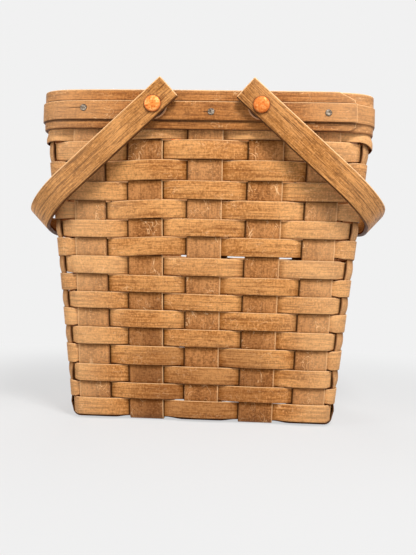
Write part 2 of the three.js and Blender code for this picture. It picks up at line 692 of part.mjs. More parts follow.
// Each handle's group stands on its pivots and is turned down to the side wall
const legHole = {
  place: new THREE.Vector3(0, 0, 0),
  direction: new THREE.Vector3(0, 1, 0),
  ...rivetHole,
  length: 2 * legMiddle,
};
const handles = [
  { name: "left_handle", sign: -1, reach: LEFT_HANDLE_REACH },
  { name: "right_handle", sign: 1, reach: RIGHT_HANDLE_REACH },
];
for (const { name, sign, reach } of handles) {
  const swing = new THREE.Group();
  const pivotDistance = pivotHalfSpacing + sign * PIVOT_SHIFT;
  const angle = lowestAngle(pivotDistance, reach) - THREE.MathUtils.degToRad(HANDLE_HELD_UP);
  swing.position.set(sign * pivotDistance, 0, pivotHeight);
  swing.rotation.y = sign > 0 ? angle : Math.PI - angle;
  basket.add(swing);
  add(name, drilled(handleGeometry(reach, sign), [legHole]), handleWood, swing);
}

export default basket;
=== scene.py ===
import bisect
import itertools
import json
import math
from collections import namedtuple

import bmesh
import bpy
from mathutils import Matrix, Vector, noise


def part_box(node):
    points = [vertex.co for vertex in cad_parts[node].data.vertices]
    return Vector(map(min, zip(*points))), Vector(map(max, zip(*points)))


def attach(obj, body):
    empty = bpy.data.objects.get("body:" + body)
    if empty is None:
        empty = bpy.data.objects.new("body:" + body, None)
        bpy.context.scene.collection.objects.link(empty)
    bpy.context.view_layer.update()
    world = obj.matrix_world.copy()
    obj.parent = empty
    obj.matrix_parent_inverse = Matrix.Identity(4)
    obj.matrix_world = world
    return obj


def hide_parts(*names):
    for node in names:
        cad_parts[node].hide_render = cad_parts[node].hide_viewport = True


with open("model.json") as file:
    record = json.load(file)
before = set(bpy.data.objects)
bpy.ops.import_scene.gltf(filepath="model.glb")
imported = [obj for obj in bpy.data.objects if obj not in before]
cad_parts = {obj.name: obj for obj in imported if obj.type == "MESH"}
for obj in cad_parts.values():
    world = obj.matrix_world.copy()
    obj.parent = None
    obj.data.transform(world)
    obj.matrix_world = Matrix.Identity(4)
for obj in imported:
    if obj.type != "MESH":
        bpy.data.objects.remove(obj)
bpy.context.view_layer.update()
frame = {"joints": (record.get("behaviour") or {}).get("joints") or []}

# Camera: where the photograph was taken from
PHOTO_HEIGHT = 555
FOCAL_PIXELS = 740.65
CAMERA_PLACE = Vector((0.0369, -0.6132, 0.1180))
CAMERA_TURN = math.radians(3.5)
CAMERA_PITCH = math.radians(-0.98)
CAMERA_ROLL = math.radians(1.44)
SENSOR_HEIGHT = 36.0

# Plan of the wall's middle surface at the floor, and how the walls lean out and stand upright under the rim
BASE_HALF_WIDTH = 0.0974
BASE_HALF_DEPTH = 0.0585
SIDE_LEAN = 0.106
FRONT_LEAN = 0.095
LEAN_FADE_BELOW_RIM = 0.018
LEAN_FADE_LENGTH = 0.040
FRONT_RIM_BOW = 0.0055
SIDE_RIM_BOW = 0.003
# How far round the side a rounded corner reaches, at the floor and at the rim
CORNER_REACH_BASE = 0.006
CORNER_REACH_RIM = 0.0185

# Uprights
UPRIGHT_WIDTH = 0.0254
OUTER_FRONT_UPRIGHT_WIDTH = 0.0236
UPRIGHT_THICKNESS = 0.0012
OUTER_INSET_BASE = 0.018
FRONT_OUTER_INSET_RIM = 0.036
SIDE_OUTER_INSET_RIM = 0.024
# The weave pulls the sides' outer uprights a little way round the corners
PULLED_ROUND = 0.0078
PULLED_ABOVE = 0.05
INNER_UPRIGHT_SHARE = 0.514
UPRIGHT_TOP_BELOW_RIM = 0.002
UPRIGHT_SWAY = 0.0003
CORNER_UPRIGHT_SWAY = 0.0009
WALL_STEPS = 240
BEND_STEPS = 8
FLOOR_STEPS = 60
FLAT_BELOW = 0.011
CURVED_ABOVE = 0.030
FLOOR_BEND_RADIUS = 0.0054
EDGE_OVERRUN = 0.0008
UPRIGHT_WAVE = 0.0002

# Weavers
WEAVER_THICKNESS = 0.0010
WEAVER_OUTER_RISE = 0.0021
WEAVER_CORNER_RISE = 0.0011
WEAVER_INNER_RISE = 0.0017
CORNER_DIP = 0.0012
# In front a row is drawn in a little where it goes under an upright, and more where it goes in round a corner
DRAWN_IN = 0.04
DRAWN_IN_AT_CORNERS = 0.11
ROWS = 17
RIM_ROWS = 2
# The rows below and above the loose gap: how far up their near edges lie, in front and at the back
LOOSE_GAP_ROW = 9
SHIFT_BELOW_GAP = (-0.0003, 0.0021)
SHIFT_ABOVE_GAP = (0.0002, 0.0026)
# At the middle of each side both rows close the gap by this, and at the left front corner by sliding down
SIDE_CLOSING = 0.0010
LEFT_DROOP = 0.0022
RIM_ROW_SEAT = 0.0015
# The lowest row in the rim curls out from under the band at the corners, and hangs lower there
FLARE = 0.0021
FLARE_DROP = 0.0038
FLARE_HEIGHT = 0.0035
LEFT_UNCURLED = 0.45
WEAVER_WAVE = 0.00018
SPLINT_GAP = 0.0001
LAP_SPACE = WEAVER_THICKNESS + SPLINT_GAP
CUTS_TO_BAY = 20

# At an upright's edges a row has turned this share of its way across, which weave() gives as COVERED
EDGE_TURN = 0.306
COVERED = math.cos(math.pi * EDGE_TURN)
# On an upright the painted shade at a row's crease falls by this much to a metre, and is narrower above the
# row
CREASE_RISE = 62.5
LESS_SHADE_ABOVE = 0.0009

# Rim strips
BAND_SEAT = 0.0022
BAND_THICKNESS = 0.0021
TRIM_THICKNESS = 0.0013
LAP_START_THICKNESS = 0.0004
# How far round the front right corner the rim strips' own ends lie, as a share of the way round it
LAP_END_SHARE = 0.24
BAND_CLIP_LENGTH = 0.0078
BAND_CLIP_DEPTH = 0.0058
BAND_LOW_CLIP = 0.0036
BAND_WAVE = 0.0002
TRIM_WAVE = 0.00025
RIM_CUTS_TO_BAY = 14

# Fastenings
NAIL_HEAD_RADIUS = 0.0025
NAIL_SHANK_RADIUS = 0.0009
NAIL_POINT = 0.0012
RIVET_HEAD_RADIUS = 0.0059
RIVET_HEAD_HEIGHT = 0.0017
RIVET_SHANK_RADIUS = 0.0024
RIVET_TAIL_RADIUS = 0.0034
BURR_RADIUS = 0.0055
WASHER_RADIUS = 0.0098
RING_PLAY = 0.0001
# A ring's rim band: painted highlight on a washer, and the rim tint on a burr
WORN_AND_LIT_RIM = 0.0007

# Handles
HANDLE_THICKNESS = 0.0039
HANDLE_WIDTH = 0.0192
LEFT_HANDLE_REACH = 0.1268
RIGHT_HANDLE_REACH = 0.1216
HANDLE_TAIL = 0.017
HANDLE_BEND_RADIUS = 0.038
HANDLE_ARCH = 0.0049
HANDLE_HOLE_OFF_CENTRE = 0.0015
HANDLE_CORNER = 0.0007
HANDLE_ROUNDING = 0.0009
LEG_STEPS = 30
ELBOW_STEPS = 20
CROWN_STEPS = 12
LEFT_HANDLE_BELOW_LEVEL = math.radians(43.460)
RIGHT_HANDLE_BELOW_LEVEL = math.radians(41.898)

# The solids' own fit, and how much of its thickness a strip's edges are rounded by
FIT_GAP = 0.0003
EDGE_ROUNDING = 0.3

RIM_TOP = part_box("rim_outer_band")[1].z
BAND_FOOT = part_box("rim_outer_band")[0].z
TRIM_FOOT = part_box("rim_trim_strip")[0].z
TRIM_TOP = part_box("rim_trim_strip")[1].z
FADE_START = RIM_TOP - LEAN_FADE_BELOW_RIM - LEAN_FADE_LENGTH

ROW_BOXES = [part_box(f"weaver_row_{row + 1:02d}") for row in range(ROWS)]
ROW_SPANS = [(low.z, high.z) for low, high in ROW_BOXES]

# Strips are cut to length by the uprights that they pass, at this spacing
SPACING = 0.0425

# Tone, wear and painted light: each splint has its own tone, the corners are painted paler as painted light
# with some wear, the foot is darkened with painted shade, and edges that face down get painted shade
TONE_STEP = 2.3
TONE_SEED = 811.88
OWN_TONE = 1.1
FOOT_SHADE = 0.7
# Edges that face down get this much painted shade
EDGE_SHADE = -0.7
# Beside an edge open to the light, and above a row, the crease's painted shade goes no further than this
SOFT_CREASE = 0.48
# The inner face of a handle's bow gets this much painted shade
INNER_SHADE = 0.54
# The grain's pattern is shifted this far across from one splint to the next
GRAIN_SHIFT = 0.05
CRACK_WIDTH = 0.0005
# Reach of the painted shade round a rivet's head
RIVET_SHADE_RADIUS = 0.0072

Face = namedtuple("Face", "along out count long")
FACES = (
    Face(Vector((1, 0, 0)), Vector((0, -1, 0)), 5, True),
    Face(Vector((0, 1, 0)), Vector((1, 0, 0)), 3, False),
    Face(Vector((-1, 0, 0)), Vector((0, 1, 0)), 5, True),
    Face(Vector((0, -1, 0)), Vector((-1, 0, 0)), 3, False),
)
# Every upright in order round the basket, from the front's left one: its face and its number there
UPRIGHTS = [(number, index) for number, face in enumerate(FACES) for index in range(face.count)]
FIRST_BACK_UPRIGHT = 8
LAST_FRONT_UPRIGHT = 4


def blend_between(low, high, value):
    """0 below low, 1 above high, and a smooth rise between."""
    share = min(max((value - low) / (high - low), 0.0), 1.0)
    return share * share * (3 - 2 * share)


def mix(start, end, share):
    return start + (end - start) * share


# The wall

def lean_out(lean, height):
    into = min(max(height - FADE_START, 0.0), LEAN_FADE_LENGTH)
    return lean * (min(height, FADE_START) + into - into**2 / (2 * LEAN_FADE_LENGTH))


def half_width(height):
    return BASE_HALF_WIDTH + lean_out(SIDE_LEAN, height)


def half_depth(height):
    return BASE_HALF_DEPTH + lean_out(FRONT_LEAN, height)


def face_distance(face, height):
    return half_depth(height) if face.long else half_width(height)


def face_half_length(face, height):
    return half_width(height) if face.long else half_depth(height)


def face_and_next(upright):
    """An upright's face, its number there, and the next face round."""
    number, index = UPRIGHTS[upright % len(UPRIGHTS)]
    return FACES[number], index, FACES[(number + 1) % len(FACES)]


def is_outermost(face, index):
    return index in (0, face.count - 1)


def half_upright(face, index):
    return (OUTER_FRONT_UPRIGHT_WIDTH if face.long and is_outermost(face, index) else UPRIGHT_WIDTH) / 2


def outer_inset(face, height):
    at_rim = FRONT_OUTER_INSET_RIM if face.long else SIDE_OUTER_INSET_RIM
    return mix(OUTER_INSET_BASE, at_rim, height / RIM_TOP)


def upright_centre(face, index, height):
    outer = face_half_length(face, height) - outer_inset(face, height)
    step = index - (face.count - 1) // 2
    if step == 0:
        return 0.0
    return math.copysign(outer, step) * (1 if is_outermost(face, index) else INNER_UPRIGHT_SHARE)


def wall_point(face, place, height):
    """A point of the wall's middle surface and its outward normal, at a place along a face."""
    half_length = face_half_length(face, height)
    bow = (FRONT_RIM_BOW if face.long else SIDE_RIM_BOW) * height / RIM_TOP
    depth = face_distance(face, height) - bow * (place / half_length) ** 4
    slope = 4 * bow * place**3 / half_length**4
    point = face.along * place + face.out * depth
    point.z = height
    return point, (face.out + face.along * slope).normalized()


def corner_legs(height):
    """How far a rounded corner reaches along the long face and along the short one."""
    long_leg = outer_inset(FACES[0], height) - OUTER_FRONT_UPRIGHT_WIDTH / 2 - EDGE_OVERRUN
    return long_leg, mix(CORNER_REACH_BASE, CORNER_REACH_RIM, math.sqrt(max(height, 0) / RIM_TOP))


def corner_point(face, after, share, height):
    """A point and normal on the rounded corner between faces: a curve that leaves both walls along them."""
    legs = corner_legs(height) if face.long else corner_legs(height)[::-1]
    start, start_normal = wall_point(face, face_half_length(face, height) - legs[0], height)
    end, end_normal = wall_point(after, legs[1] - face_half_length(after, height), height)
    onward = Vector((-start_normal.y, start_normal.x, 0))
    apex = start + onward * ((end - start).dot(end_normal) / onward.dot(end_normal))
    point = start * (1 - share) ** 2 + apex * 2 * share * (1 - share) + end * share**2
    tangent = (apex - start) * (1 - share) + (end - apex) * share
    return point, Vector((tangent.y, -tangent.x, 0)).normalized()


def bay_lengths(upright, height):
    """The way along the wall from an upright's middle to the next one's: to the corner, round it and on."""
    face, index, after = face_and_next(upright)
    if index < face.count - 1:
        return upright_centre(face, index + 1, height) - upright_centre(face, index, height), 0.0, 0.0
    long_leg, short_leg = corner_legs(height)
    corner = (2 * math.hypot(long_leg, short_leg) + long_leg + short_leg) / 3
    legs = (long_leg, short_leg) if face.long else (short_leg, long_leg)
    return outer_inset(face, height) - legs[0], corner, outer_inset(after, height) - legs[1]


def round_wall(turn, height):
    """The wall's point and normal as far round as `turn` uprights from the front's left one."""
    upright = math.floor(turn)
    face, index, after = face_and_next(upright)
    before, corner, beyond = bay_lengths(upright, height)
    away = (turn - upright) * (before + corner + beyond)
    if away <= before:
        return wall_point(face, upright_centre(face, index, height) + away, height)
    if away <= before + corner:
        return corner_point(face, after, (away - before) / corner, height)
    return wall_point(after, upright_centre(after, 0, height) - (before + corner + beyond - away), height)


def pulled(upright, height):
    """How far the weave pulls an upright along the wall, onwards where it is more than 0."""
    face, index, _ = face_and_next(upright)
    if face.long or not is_outermost(face, index):
        return 0.0
    return math.copysign(PULLED_ROUND, index - 0.5) * blend_between(0, PULLED_ABOVE, height)


def beside_upright(upright, away, height):
    """The wall's point and normal at a distance along the wall from an upright's own middle."""
    away += pulled(upright, height)
    bay = sum(bay_lengths(upright if away >= 0 else upright - 1, height))
    return round_wall(upright + away / bay, height)


def half_upright_round(upright):
    face, index, _ = face_and_next(upright)
    return half_upright(face, index) + EDGE_OVERRUN


# Strips

def flat_sheet(length, width, cuts, across):
    """A flat sheet the size of a strip: X along it from 0, Y across it about its middle."""
    sheet = bmesh.new()
    bmesh.ops.create_grid(sheet, x_segments=cuts, y_segments=across, size=0.5)
    bmesh.ops.translate(sheet, verts=sheet.verts, vec=(0.5, 0, 0))
    bmesh.ops.scale(sheet, verts=sheet.verts, vec=(length, width, 1))
    return sheet


def cut_off(sheet, place, direction):
    """Cuts off what lies past the line through `place`, square to `direction`."""
    everything = [*sheet.verts, *sheet.edges, *sheet.faces]
    bmesh.ops.bisect_plane(sheet, geom=everything, plane_co=place, plane_no=direction, clear_outer=True)


def bevel(sheet, geom, affect, radius, segments):
    look = {"segments": segments, "profile": 0.5, "material": -1}
    bmesh.ops.bevel(sheet, geom=geom, affect=affect, offset=radius, **look)


def round_corners(sheet, radius):
    corners = [vert for vert in sheet.verts if len(vert.link_edges) == 2]
    bevel(sheet, corners, "VERTICES", radius, 3)


def thicken(sheet, thickness, segments=2, rounding=None):
    """The sheet gets its thickness, about its middle, and its edges are rounded."""
    bmesh.ops.solidify(sheet, geom=list(sheet.faces), thickness=thickness)
    bmesh.ops.translate(sheet, verts=sheet.verts, vec=(0, 0, thickness / 2))
    bmesh.ops.recalc_face_normals(sheet, faces=sheet.faces)
    edges = [
        edge
        for edge in sheet.edges
        if edge.calc_face_angle(0) > 1.2 and abs(edge.verts[0].co.z - edge.verts[1].co.z) < thickness / 2
    ]
    bevel(sheet, edges, "EDGES", rounding or thickness * EDGE_ROUNDING, segments)


def wavy_edge(x, y, most, waves, seed):
    """How far the edge on the side of `y` strays at a place along a strip, with so many waves to a metre."""
    return most * noise.noise(Vector((x * waves, seed, math.copysign(1, y))))


def light_and_wear(point, grain):
    """How much paler the wood is painted, most at the corners, as painted light with some wear, or less than
    0 how much painted shade darkens it towards the foot.
    """
    height = max(point.z, 0.0)
    near_corner = min(abs(point.x) / half_width(height), abs(point.y) / half_depth(height))
    # Paler towards the corners: painted light, with some wear from handling
    paled = blend_between(0.3, 1.0, near_corner)
    # Darker towards the foot: painted shade
    low = 1 - blend_between(0.02, 0.13, height)
    own_tone = noise.noise(Vector((grain * TONE_STEP, TONE_SEED, 0)))
    return paled - FOOT_SHADE * low * (1 - paled) + OWN_TONE * own_tone


def bend(sheet, width, place, grain, crease=None, lit_side=1, shade_from=0.0):
    """Bends a straight strip, keeping on it how its grain runs, how worn and how lit it is, and where painted
    shade falls on it.
    """
    runs = sheet.loops.layers.uv.new("grain")
    across = sheet.verts.layers.float.new("across")
    edge = sheet.verts.layers.float.new("edge")
    crease_shade = sheet.verts.layers.float.new("crease")
    lit_and_worn = sheet.verts.layers.float.new("light_and_wear")
    sheet.normal_update()
    for face in sheet.faces:
        for loop in face.loops:
            straight = loop.vert.co
            loop[runs].uv = (straight.x, straight.y + straight.z + GRAIN_SHIFT * grain)
            # Edges towards the light, and cut ends, are painted pale as highlight with some wear; edges that
            # face down get painted shade
            if abs(face.normal.z) < 0.9:
                is_pale_edge = abs(face.normal.x) > 0.5 or lit_side * straight.y >= 0
                edge_shade = EDGE_SHADE if straight.x > shade_from else 0.0
                loop.vert[edge] = 1.0 if is_pale_edge else edge_shade
    for vert in sheet.verts:
        vert[across] = 2 * vert.co.y / width * lit_side
        vert[crease_shade] = crease(*vert.co) if crease else -1.0
        vert.co = place(*vert.co)
        vert[lit_and_worn] = light_and_wear(vert.co, grain)
    bmesh.ops.recalc_face_normals(sheet, faces=sheet.faces)


def stand_in_scene(name, data):
    made = bpy.data.objects.new(name, data)
    bpy.context.scene.collection.objects.link(made)
    return made


def solid(name, sheet, finish):
    mesh = bpy.data.meshes.new(name)
    sheet.to_mesh(mesh)
    sheet.free()
    mesh.materials.append(finish)
    return stand_in_scene(name, mesh)


def finish_piece(name, sheet, finish, body, node):
    """The made shape as a piece of the basket that stands for its plain solid."""
    for face in sheet.faces:
        face.smooth = True
    for edge in sheet.edges:
        edge.smooth = edge.calc_face_angle(0) < math.radians(50)
    piece = solid(name, sheet, finish)
    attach(piece, body)
    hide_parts(node)


# Finishes

def add_node(tree, kind, inputs=(), **settings):
    """Adds a node; `inputs` are pairs of a socket's name or number and a value or another node's output."""
    made = tree.nodes.new(kind)
    for setting, value in settings.items():
        setattr(made, setting, value)
    for socket, value in inputs:
        if isinstance(value, bpy.types.NodeSocket):
            tree.links.new(value, made.inputs[socket])
        else:
            made.inputs[socket].default_value = value
    return made


def new_finish(name):
    finish = bpy.data.materials.new(name)
    finish.use_nodes = True
    tree = finish.node_tree
    return finish, tree, tree.nodes["Principled BSDF"]


def linear(colour):
    """A colour as a picture gives it, from 0 to 255, turned to the light that it stands for."""
    def one(value):
        value /= 255
        return value / 12.92 if value <= 0.04045 else ((value + 0.055) / 1.055) ** 2.4
    return (*map(one, colour), 1.0)


def stretched_noise(tree, runs, along, across, detail=3.0, roughness=0.55, distortion=0.0):
    """A pattern drawn out along the grain: `along` and `across` are its marks to a metre each way."""
    mapped = add_node(tree, "ShaderNodeMapping", [("Vector", runs), ("Scale", (along, across, 1.0))])
    look = [("Scale", 1.0), ("Detail", detail), ("Roughness", roughness), ("Distortion", distortion)]
    return add_node(tree, "ShaderNodeTexNoise", [("Vector", mapped.outputs["Vector"]), *look]).outputs["Fac"]


def ranged(tree, value, low, high, to_low=0.0, to_high=1.0):
    """The value's range from low to high, smoothly turned into another."""
    ends = [("From Min", low), ("From Max", high), ("To Min", to_low), ("To Max", to_high)]
    made = add_node(tree, "ShaderNodeMapRange", [("Value", value), *ends], interpolation_type="SMOOTHSTEP")
    return made.outputs["Result"]


def maths(tree, operation, first, second=0.0):
    made = add_node(tree, "ShaderNodeMath", [(0, first), (1, second)], operation=operation)
    return made.outputs["Value"]


def multiplied(tree, first, second):
    return maths(tree, "MULTIPLY", first, second)


def mixed(tree, share, first, second):
    """The first colour where the share is 0, and the second where it is 1."""
    return add_node(
        tree, "ShaderNodeMix", [("Factor", share), (6, first), (7, second)], data_type="RGBA"
    ).outputs[2]


def roughen(tree, shader, height, strength, depth):
    """Relief on the surface from a pattern of heights."""
    bump = add_node(tree, "ShaderNodeBump", [("Strength", strength), ("Distance", depth), ("Height", height)])
    tree.links.new(bump.outputs["Normal"], shader.inputs["Normal"])


def named_value(tree, name):
    return add_node(tree, "ShaderNodeAttribute", attribute_name=name).outputs["Fac"]


def length_of(tree, vector):
    return add_node(tree, "ShaderNodeVectorMath", [(0, vector)], operation="LENGTH").outputs["Value"]


def away_from(tree, value, middle):
    return maths(tree, "ABSOLUTE", maths(tree, "SUBTRACT", value, middle))


def grain_patterns(tree, runs):
    """The marks that wood has along its grain, from broad clouds to single fibres."""
    looks = {
        "cloudy": (24, 50, 2),
        "blotchy": (130, 240, 3, 0.6),
        "lined": (16, 640, 2, 0.6),
        "fibrous": (120, 1500, 3, 0.6),
        "cross": (900, 330, 2),
        "speckled": (560, 700, 2),
    }
    return {mark: stretched_noise(tree, runs, *look) for mark, look in looks.items()}


def grained(tree, patterns, pale, middle, dark, lines, mottle):
    """Clean wood: broad clouds first, then finer and finer marks, each darker and paler."""
    colour = mixed(tree, ranged(tree, patterns["cloudy"], 0.36, 0.64), middle, pale)
    marks = (
        ("blotchy", 0.4, 0.4),
        ("speckled", 0.4 * mottle, 0.9 * mottle),
        ("cross", 0.3 * mottle, 0.9 * mottle),
        ("lined", 0.6 * lines, 0.6 * lines),
        ("fibrous", 0.5 * lines, 0.5 * lines),
    )
    for mark, darker, paler in marks:
        colour = mixed(tree, ranged(tree, patterns[mark], 0.5, 0.34, 0.0, darker), colour, dark)
        colour = mixed(tree, ranged(tree, patterns[mark], 0.53, 0.68, 0.0, paler), colour, pale)
    return colour


def open_pores(tree, runs, blotchy):
    """Where open pores lie: short dashes, in some places more than in others."""
    dashes = stretched_noise(tree, runs, 240, 2000, detail=1)
    return multiplied(tree, ranged(tree, dashes, 0.6, 0.67), ranged(tree, blotchy, 0.4, 0.6))


def fine_scratches(tree, runs):
    """Where fine curling scratches lie."""
    curls = stretched_noise(tree, runs, 90, 150, detail=1, distortion=1.2)
    near_line = ranged(tree, away_from(tree, curls, 0.5), 0.02, 0.0)
    worn_places = ranged(tree, stretched_noise(tree, runs, 40, 70, detail=1), 0.48, 0.62)
    return multiplied(tree, near_line, worn_places)


def wear_and_painted_light(tree, colour, dark, corner_paling):
    """Wear, tone, painted light and painted shade by what bend() kept on the strip."""
    lit_and_worn, edge, creased, across = (named_value(tree, name) for name in ("light_and_wear", "edge", "crease", "across"))
    # Each starts at one value and is full at another, and turns the colour so far to its tint
    changes = (
        # Paler towards the corners as painted light with some wear, darker towards the foot as painted shade
        (lit_and_worn, 0.0, 1.2, corner_paling, WORN_AND_HIGHLIT),
        (lit_and_worn, 0.0, -1.2, 0.6, dark),
        # Edges: painted highlight with some wear where they face the light, painted shade where they face
        # down
        (edge, 0.0, 1.0, 0.8, WORN_AND_HIGHLIT),
        (edge, 0.0, -1.0, 0.9, GRIME_AND_SHADE),
        # Where a splint dives under another: painted shade, darkest at the covering edge, with some grime
        (creased, 0.25, COVERED, 0.45, dark),
        (creased, COVERED - 0.04, COVERED, 0.8, GRIME_AND_SHADE),
        # The strip's side towards the light is painted paler as highlight with some wear, the other side
        # darker as painted shade
        (across, 0.9, 0.98, 0.4, WORN_AND_HIGHLIT),
        (across, -0.88, -0.98, 0.5, dark),
    )
    for value, start, full, most, tint in changes:
        colour = mixed(tree, ranged(tree, value, start, full, 0.0, most), colour, tint)
    return colour


def shaded_along(tree, runs, colour, line):
    """Paints shade, with some grime, along a line on a rim strip past its lap, in the gap beside the trim;
    the line lies across it as bend() measures that.
    """
    along = add_node(tree, "ShaderNodeSeparateXYZ", [("Vector", runs)]).outputs["X"]
    past_lap = ranged(tree, along, SHADE_FROM - 0.03, SHADE_FROM, 0.15, 1.0)
    away = away_from(tree, named_value(tree, "across"), line)
    share = multiplied(tree, ranged(tree, away, 0.06, 0.02, 0.0, 0.7), past_lap)
    return mixed(tree, share, colour, GRIME_AND_SHADE)


def stained_and_shaded(tree, runs, colour, spot):
    """Darkens the wood at a spot, for a crack or for painted shade round a rivet: its place along the grain
    and across, and its reach each way.
    """
    along, across, long_reach, wide_reach = spot
    scale = (1 / long_reach, 1 / wide_reach, 0.0)
    shift = (-along / long_reach, -across / wide_reach, 0.0)
    mapped = add_node(tree, "ShaderNodeMapping", [("Vector", runs), ("Location", shift), ("Scale", scale)])
    away = length_of(tree, mapped.outputs["Vector"])
    return mixed(tree, ranged(tree, away, 1.0, 0.75, 0.0, 0.7), colour, GRIME_AND_SHADE)


def wood(
    name, pale, middle, dark, lines=1.0, mottle=1.0, pores=0.2, scratches=0.5, roughness=0.5, corner_paling=0.1,
    shade_lines=(), spots=(),
):
    """Wood with its grain along the strip, with painted shade and some grime where splints meet, and worn
    pale with painted highlight at its edges.
    """
    pale, middle, dark = map(linear, (pale, middle, dark))
    finish, tree, shader = new_finish(name)
    runs = add_node(tree, "ShaderNodeUVMap", uv_map="grain").outputs["UV"]
    patterns = grain_patterns(tree, runs)
    pore_share = open_pores(tree, runs, patterns["blotchy"])

    colour = grained(tree, patterns, pale, middle, dark, lines, mottle)
    colour = mixed(tree, multiplied(tree, pore_share, pores), colour, GRIME_AND_SHADE)
    colour = mixed(tree, multiplied(tree, fine_scratches(tree, runs), scratches), colour, WORN_AND_HIGHLIT)
    colour = wear_and_painted_light(tree, colour, dark, corner_paling)
    for line in shade_lines:
        colour = shaded_along(tree, runs, colour, line)
    for spot in spots:
        colour = stained_and_shaded(tree, runs, colour, spot)
    tree.links.new(colour, shader.inputs["Base Color"])

    rough = ranged(tree, patterns["fibrous"], 0.3, 0.7, roughness + 0.1, roughness - 0.08)
    tree.links.new(rough, shader.inputs["Roughness"])
    height = maths(tree, "ADD", patterns["fibrous"], multiplied(tree, patterns["lined"], 1.5 * lines))
    roughen(tree, shader, maths(tree, "SUBTRACT", height, pore_share), 0.4, 0.0003)
    dulled = ranged(tree, named_value(tree, "crease"), 0.25, COVERED - 0.06, 0.16, 0.0)
    tree.links.new(dulled, shader.inputs["Specular IOR Level"])
    return finish


def cells(tree, place, scale):
    """How far a place is from the middle of its cell, in a pattern of so many cells to a metre."""
    return add_node(tree, "ShaderNodeTexVoronoi", [("Vector", place), ("Scale", scale)]).outputs["Distance"]


def beaten_metal(name, pale, middle, dark, metallic, roughness, marks, rim, right_tint=0.0):
    """Metal with mottled tarnish, `marks` beaten marks to a metre and its own rim, darker at the right."""
    pale, middle, dark, rim = map(linear, (pale, middle, dark, rim))
    finish, tree, shader = new_finish(name)
    place = add_node(tree, "ShaderNodeTexCoord").outputs["Object"]
    look = [("Scale", marks), ("Detail", 3.0), ("Roughness", 0.6)]
    blotches = add_node(tree, "ShaderNodeTexNoise", [("Vector", place), *look]).outputs["Fac"]
    dents = cells(tree, place, marks * 1.4)
    colour = mixed(tree, ranged(tree, blotches, 0.35, 0.5), dark, middle)
    colour = mixed(tree, ranged(tree, blotches, 0.52, 0.68), colour, pale)
    colour = mixed(tree, multiplied(tree, named_value(tree, "rim"), 0.8), colour, rim)
    rightward = add_node(tree, "ShaderNodeSeparateXYZ", [("Vector", place)]).outputs["X"]
    colour = mixed(tree, ranged(tree, rightward, 0.0, 0.01, 0.0, right_tint), colour, dark)
    tree.links.new(colour, shader.inputs["Base Color"])
    rough = ranged(tree, blotches, 0.3, 0.7, roughness + 0.12, roughness - 0.1)
    tree.links.new(rough, shader.inputs["Roughness"])
    roughen(tree, shader, maths(tree, "ADD", blotches, dents), 0.3, 0.0002)
    shader.inputs["Metallic"].default_value = metallic
    return finish


def washer_leather():
    finish, tree, shader = new_finish("leather")
    place = add_node(tree, "ShaderNodeTexCoord").outputs["Object"]
    look = [("Scale", 300.0), ("Detail", 3.0)]
    cloudy = add_node(tree, "ShaderNodeTexNoise", [("Vector", place), *look]).outputs["Fac"]
    # The washer's face is painted dark as shade under the handle's leg
    colour = mixed(tree, ranged(tree, cloudy, 0.35, 0.65), linear((72, 42, 24)), linear((96, 58, 34)))
    # Its rim is painted pale as a painted highlight
    colour = mixed(tree, named_value(tree, "rim"), colour, linear((190, 138, 96)))
    tree.links.new(colour, shader.inputs["Base Color"])
    shader.inputs["Roughness"].default_value = 0.7
    roughen(tree, shader, cells(tree, place, 1600.0), 0.3, 0.0001)
    return finish


# Weavers

def bay_edges(upright, height):
    """Where an upright's middle and edge lie, and the next one's edge and middle, as shares of the way."""
    bay = sum(bay_lengths(upright, height))
    start = pulled(upright, height) / bay
    end = 1 + pulled(upright + 1, height) / bay
    return start, start + half_upright_round(upright) / bay, end - half_upright_round(upright + 1) / bay, end


def weave(turn, row, height):
    """How far out a row lies, from 1 over an upright's middle to -1 under one's, and the nearest upright."""
    upright = math.floor(turn)
    share = turn - upright
    start, start_edge, end_edge, end = bay_edges(upright, height)
    if share < start_edge:
        crossed = (share - start) * EDGE_TURN / (start_edge - start)
    elif share > end_edge:
        crossed = 1 - (end - share) * EDGE_TURN / (end - end_edge)
    else:
        crossed = mix(EDGE_TURN, 1 - EDGE_TURN, (share - start_edge) / (end_edge - start_edge))
    return math.cos(math.pi * (upright + row + crossed)), upright + round(crossed)


def is_corner_upright(upright):
    face, index, _ = face_and_next(upright)
    return not face.long and is_outermost(face, index)


def is_corner_bay(turn):
    face, index, _ = face_and_next(math.floor(turn))
    return index == face.count - 1


CORNER_UPRIGHTS = [upright for upright in range(len(UPRIGHTS)) if is_corner_upright(upright)]


def turns_apart(turn, other):
    """How many uprights lie between two places, the shorter way round."""
    half = len(UPRIGHTS) / 2
    return abs((turn - other + half) % len(UPRIGHTS) - half)


def drawn_in(turn, row, height):
    """How much narrower a row is at a place, as a share of its width."""
    apart = min(turns_apart(turn, corner) for corner in CORNER_UPRIGHTS)
    most = mix(DRAWN_IN_AT_CORNERS, DRAWN_IN, blend_between(0.6, 1.0, apart))
    before_sides = 1 - blend_between(3.2, 4.2, turns_apart(turn, 2))
    return before_sides * most * (1 - blend_between(-0.6, 0.35, weave(turn, row, height)[0]))


def drooped(row, turn):
    """How far a row hangs below its even place."""
    if row < LOOSE_GAP_ROW:
        return 0.0
    return LEFT_DROOP * (1 - blend_between(0.7, 2.0, turns_apart(turn, -0.5)))


def curled_out(turn):
    """1 where a row goes round a corner, over the side's outer upright, falling to 0 at its neighbours."""
    apart = min(turns_apart(turn, corner) for corner in CORNER_UPRIGHTS)
    return 1 - blend_between(0.2, 0.7, apart)


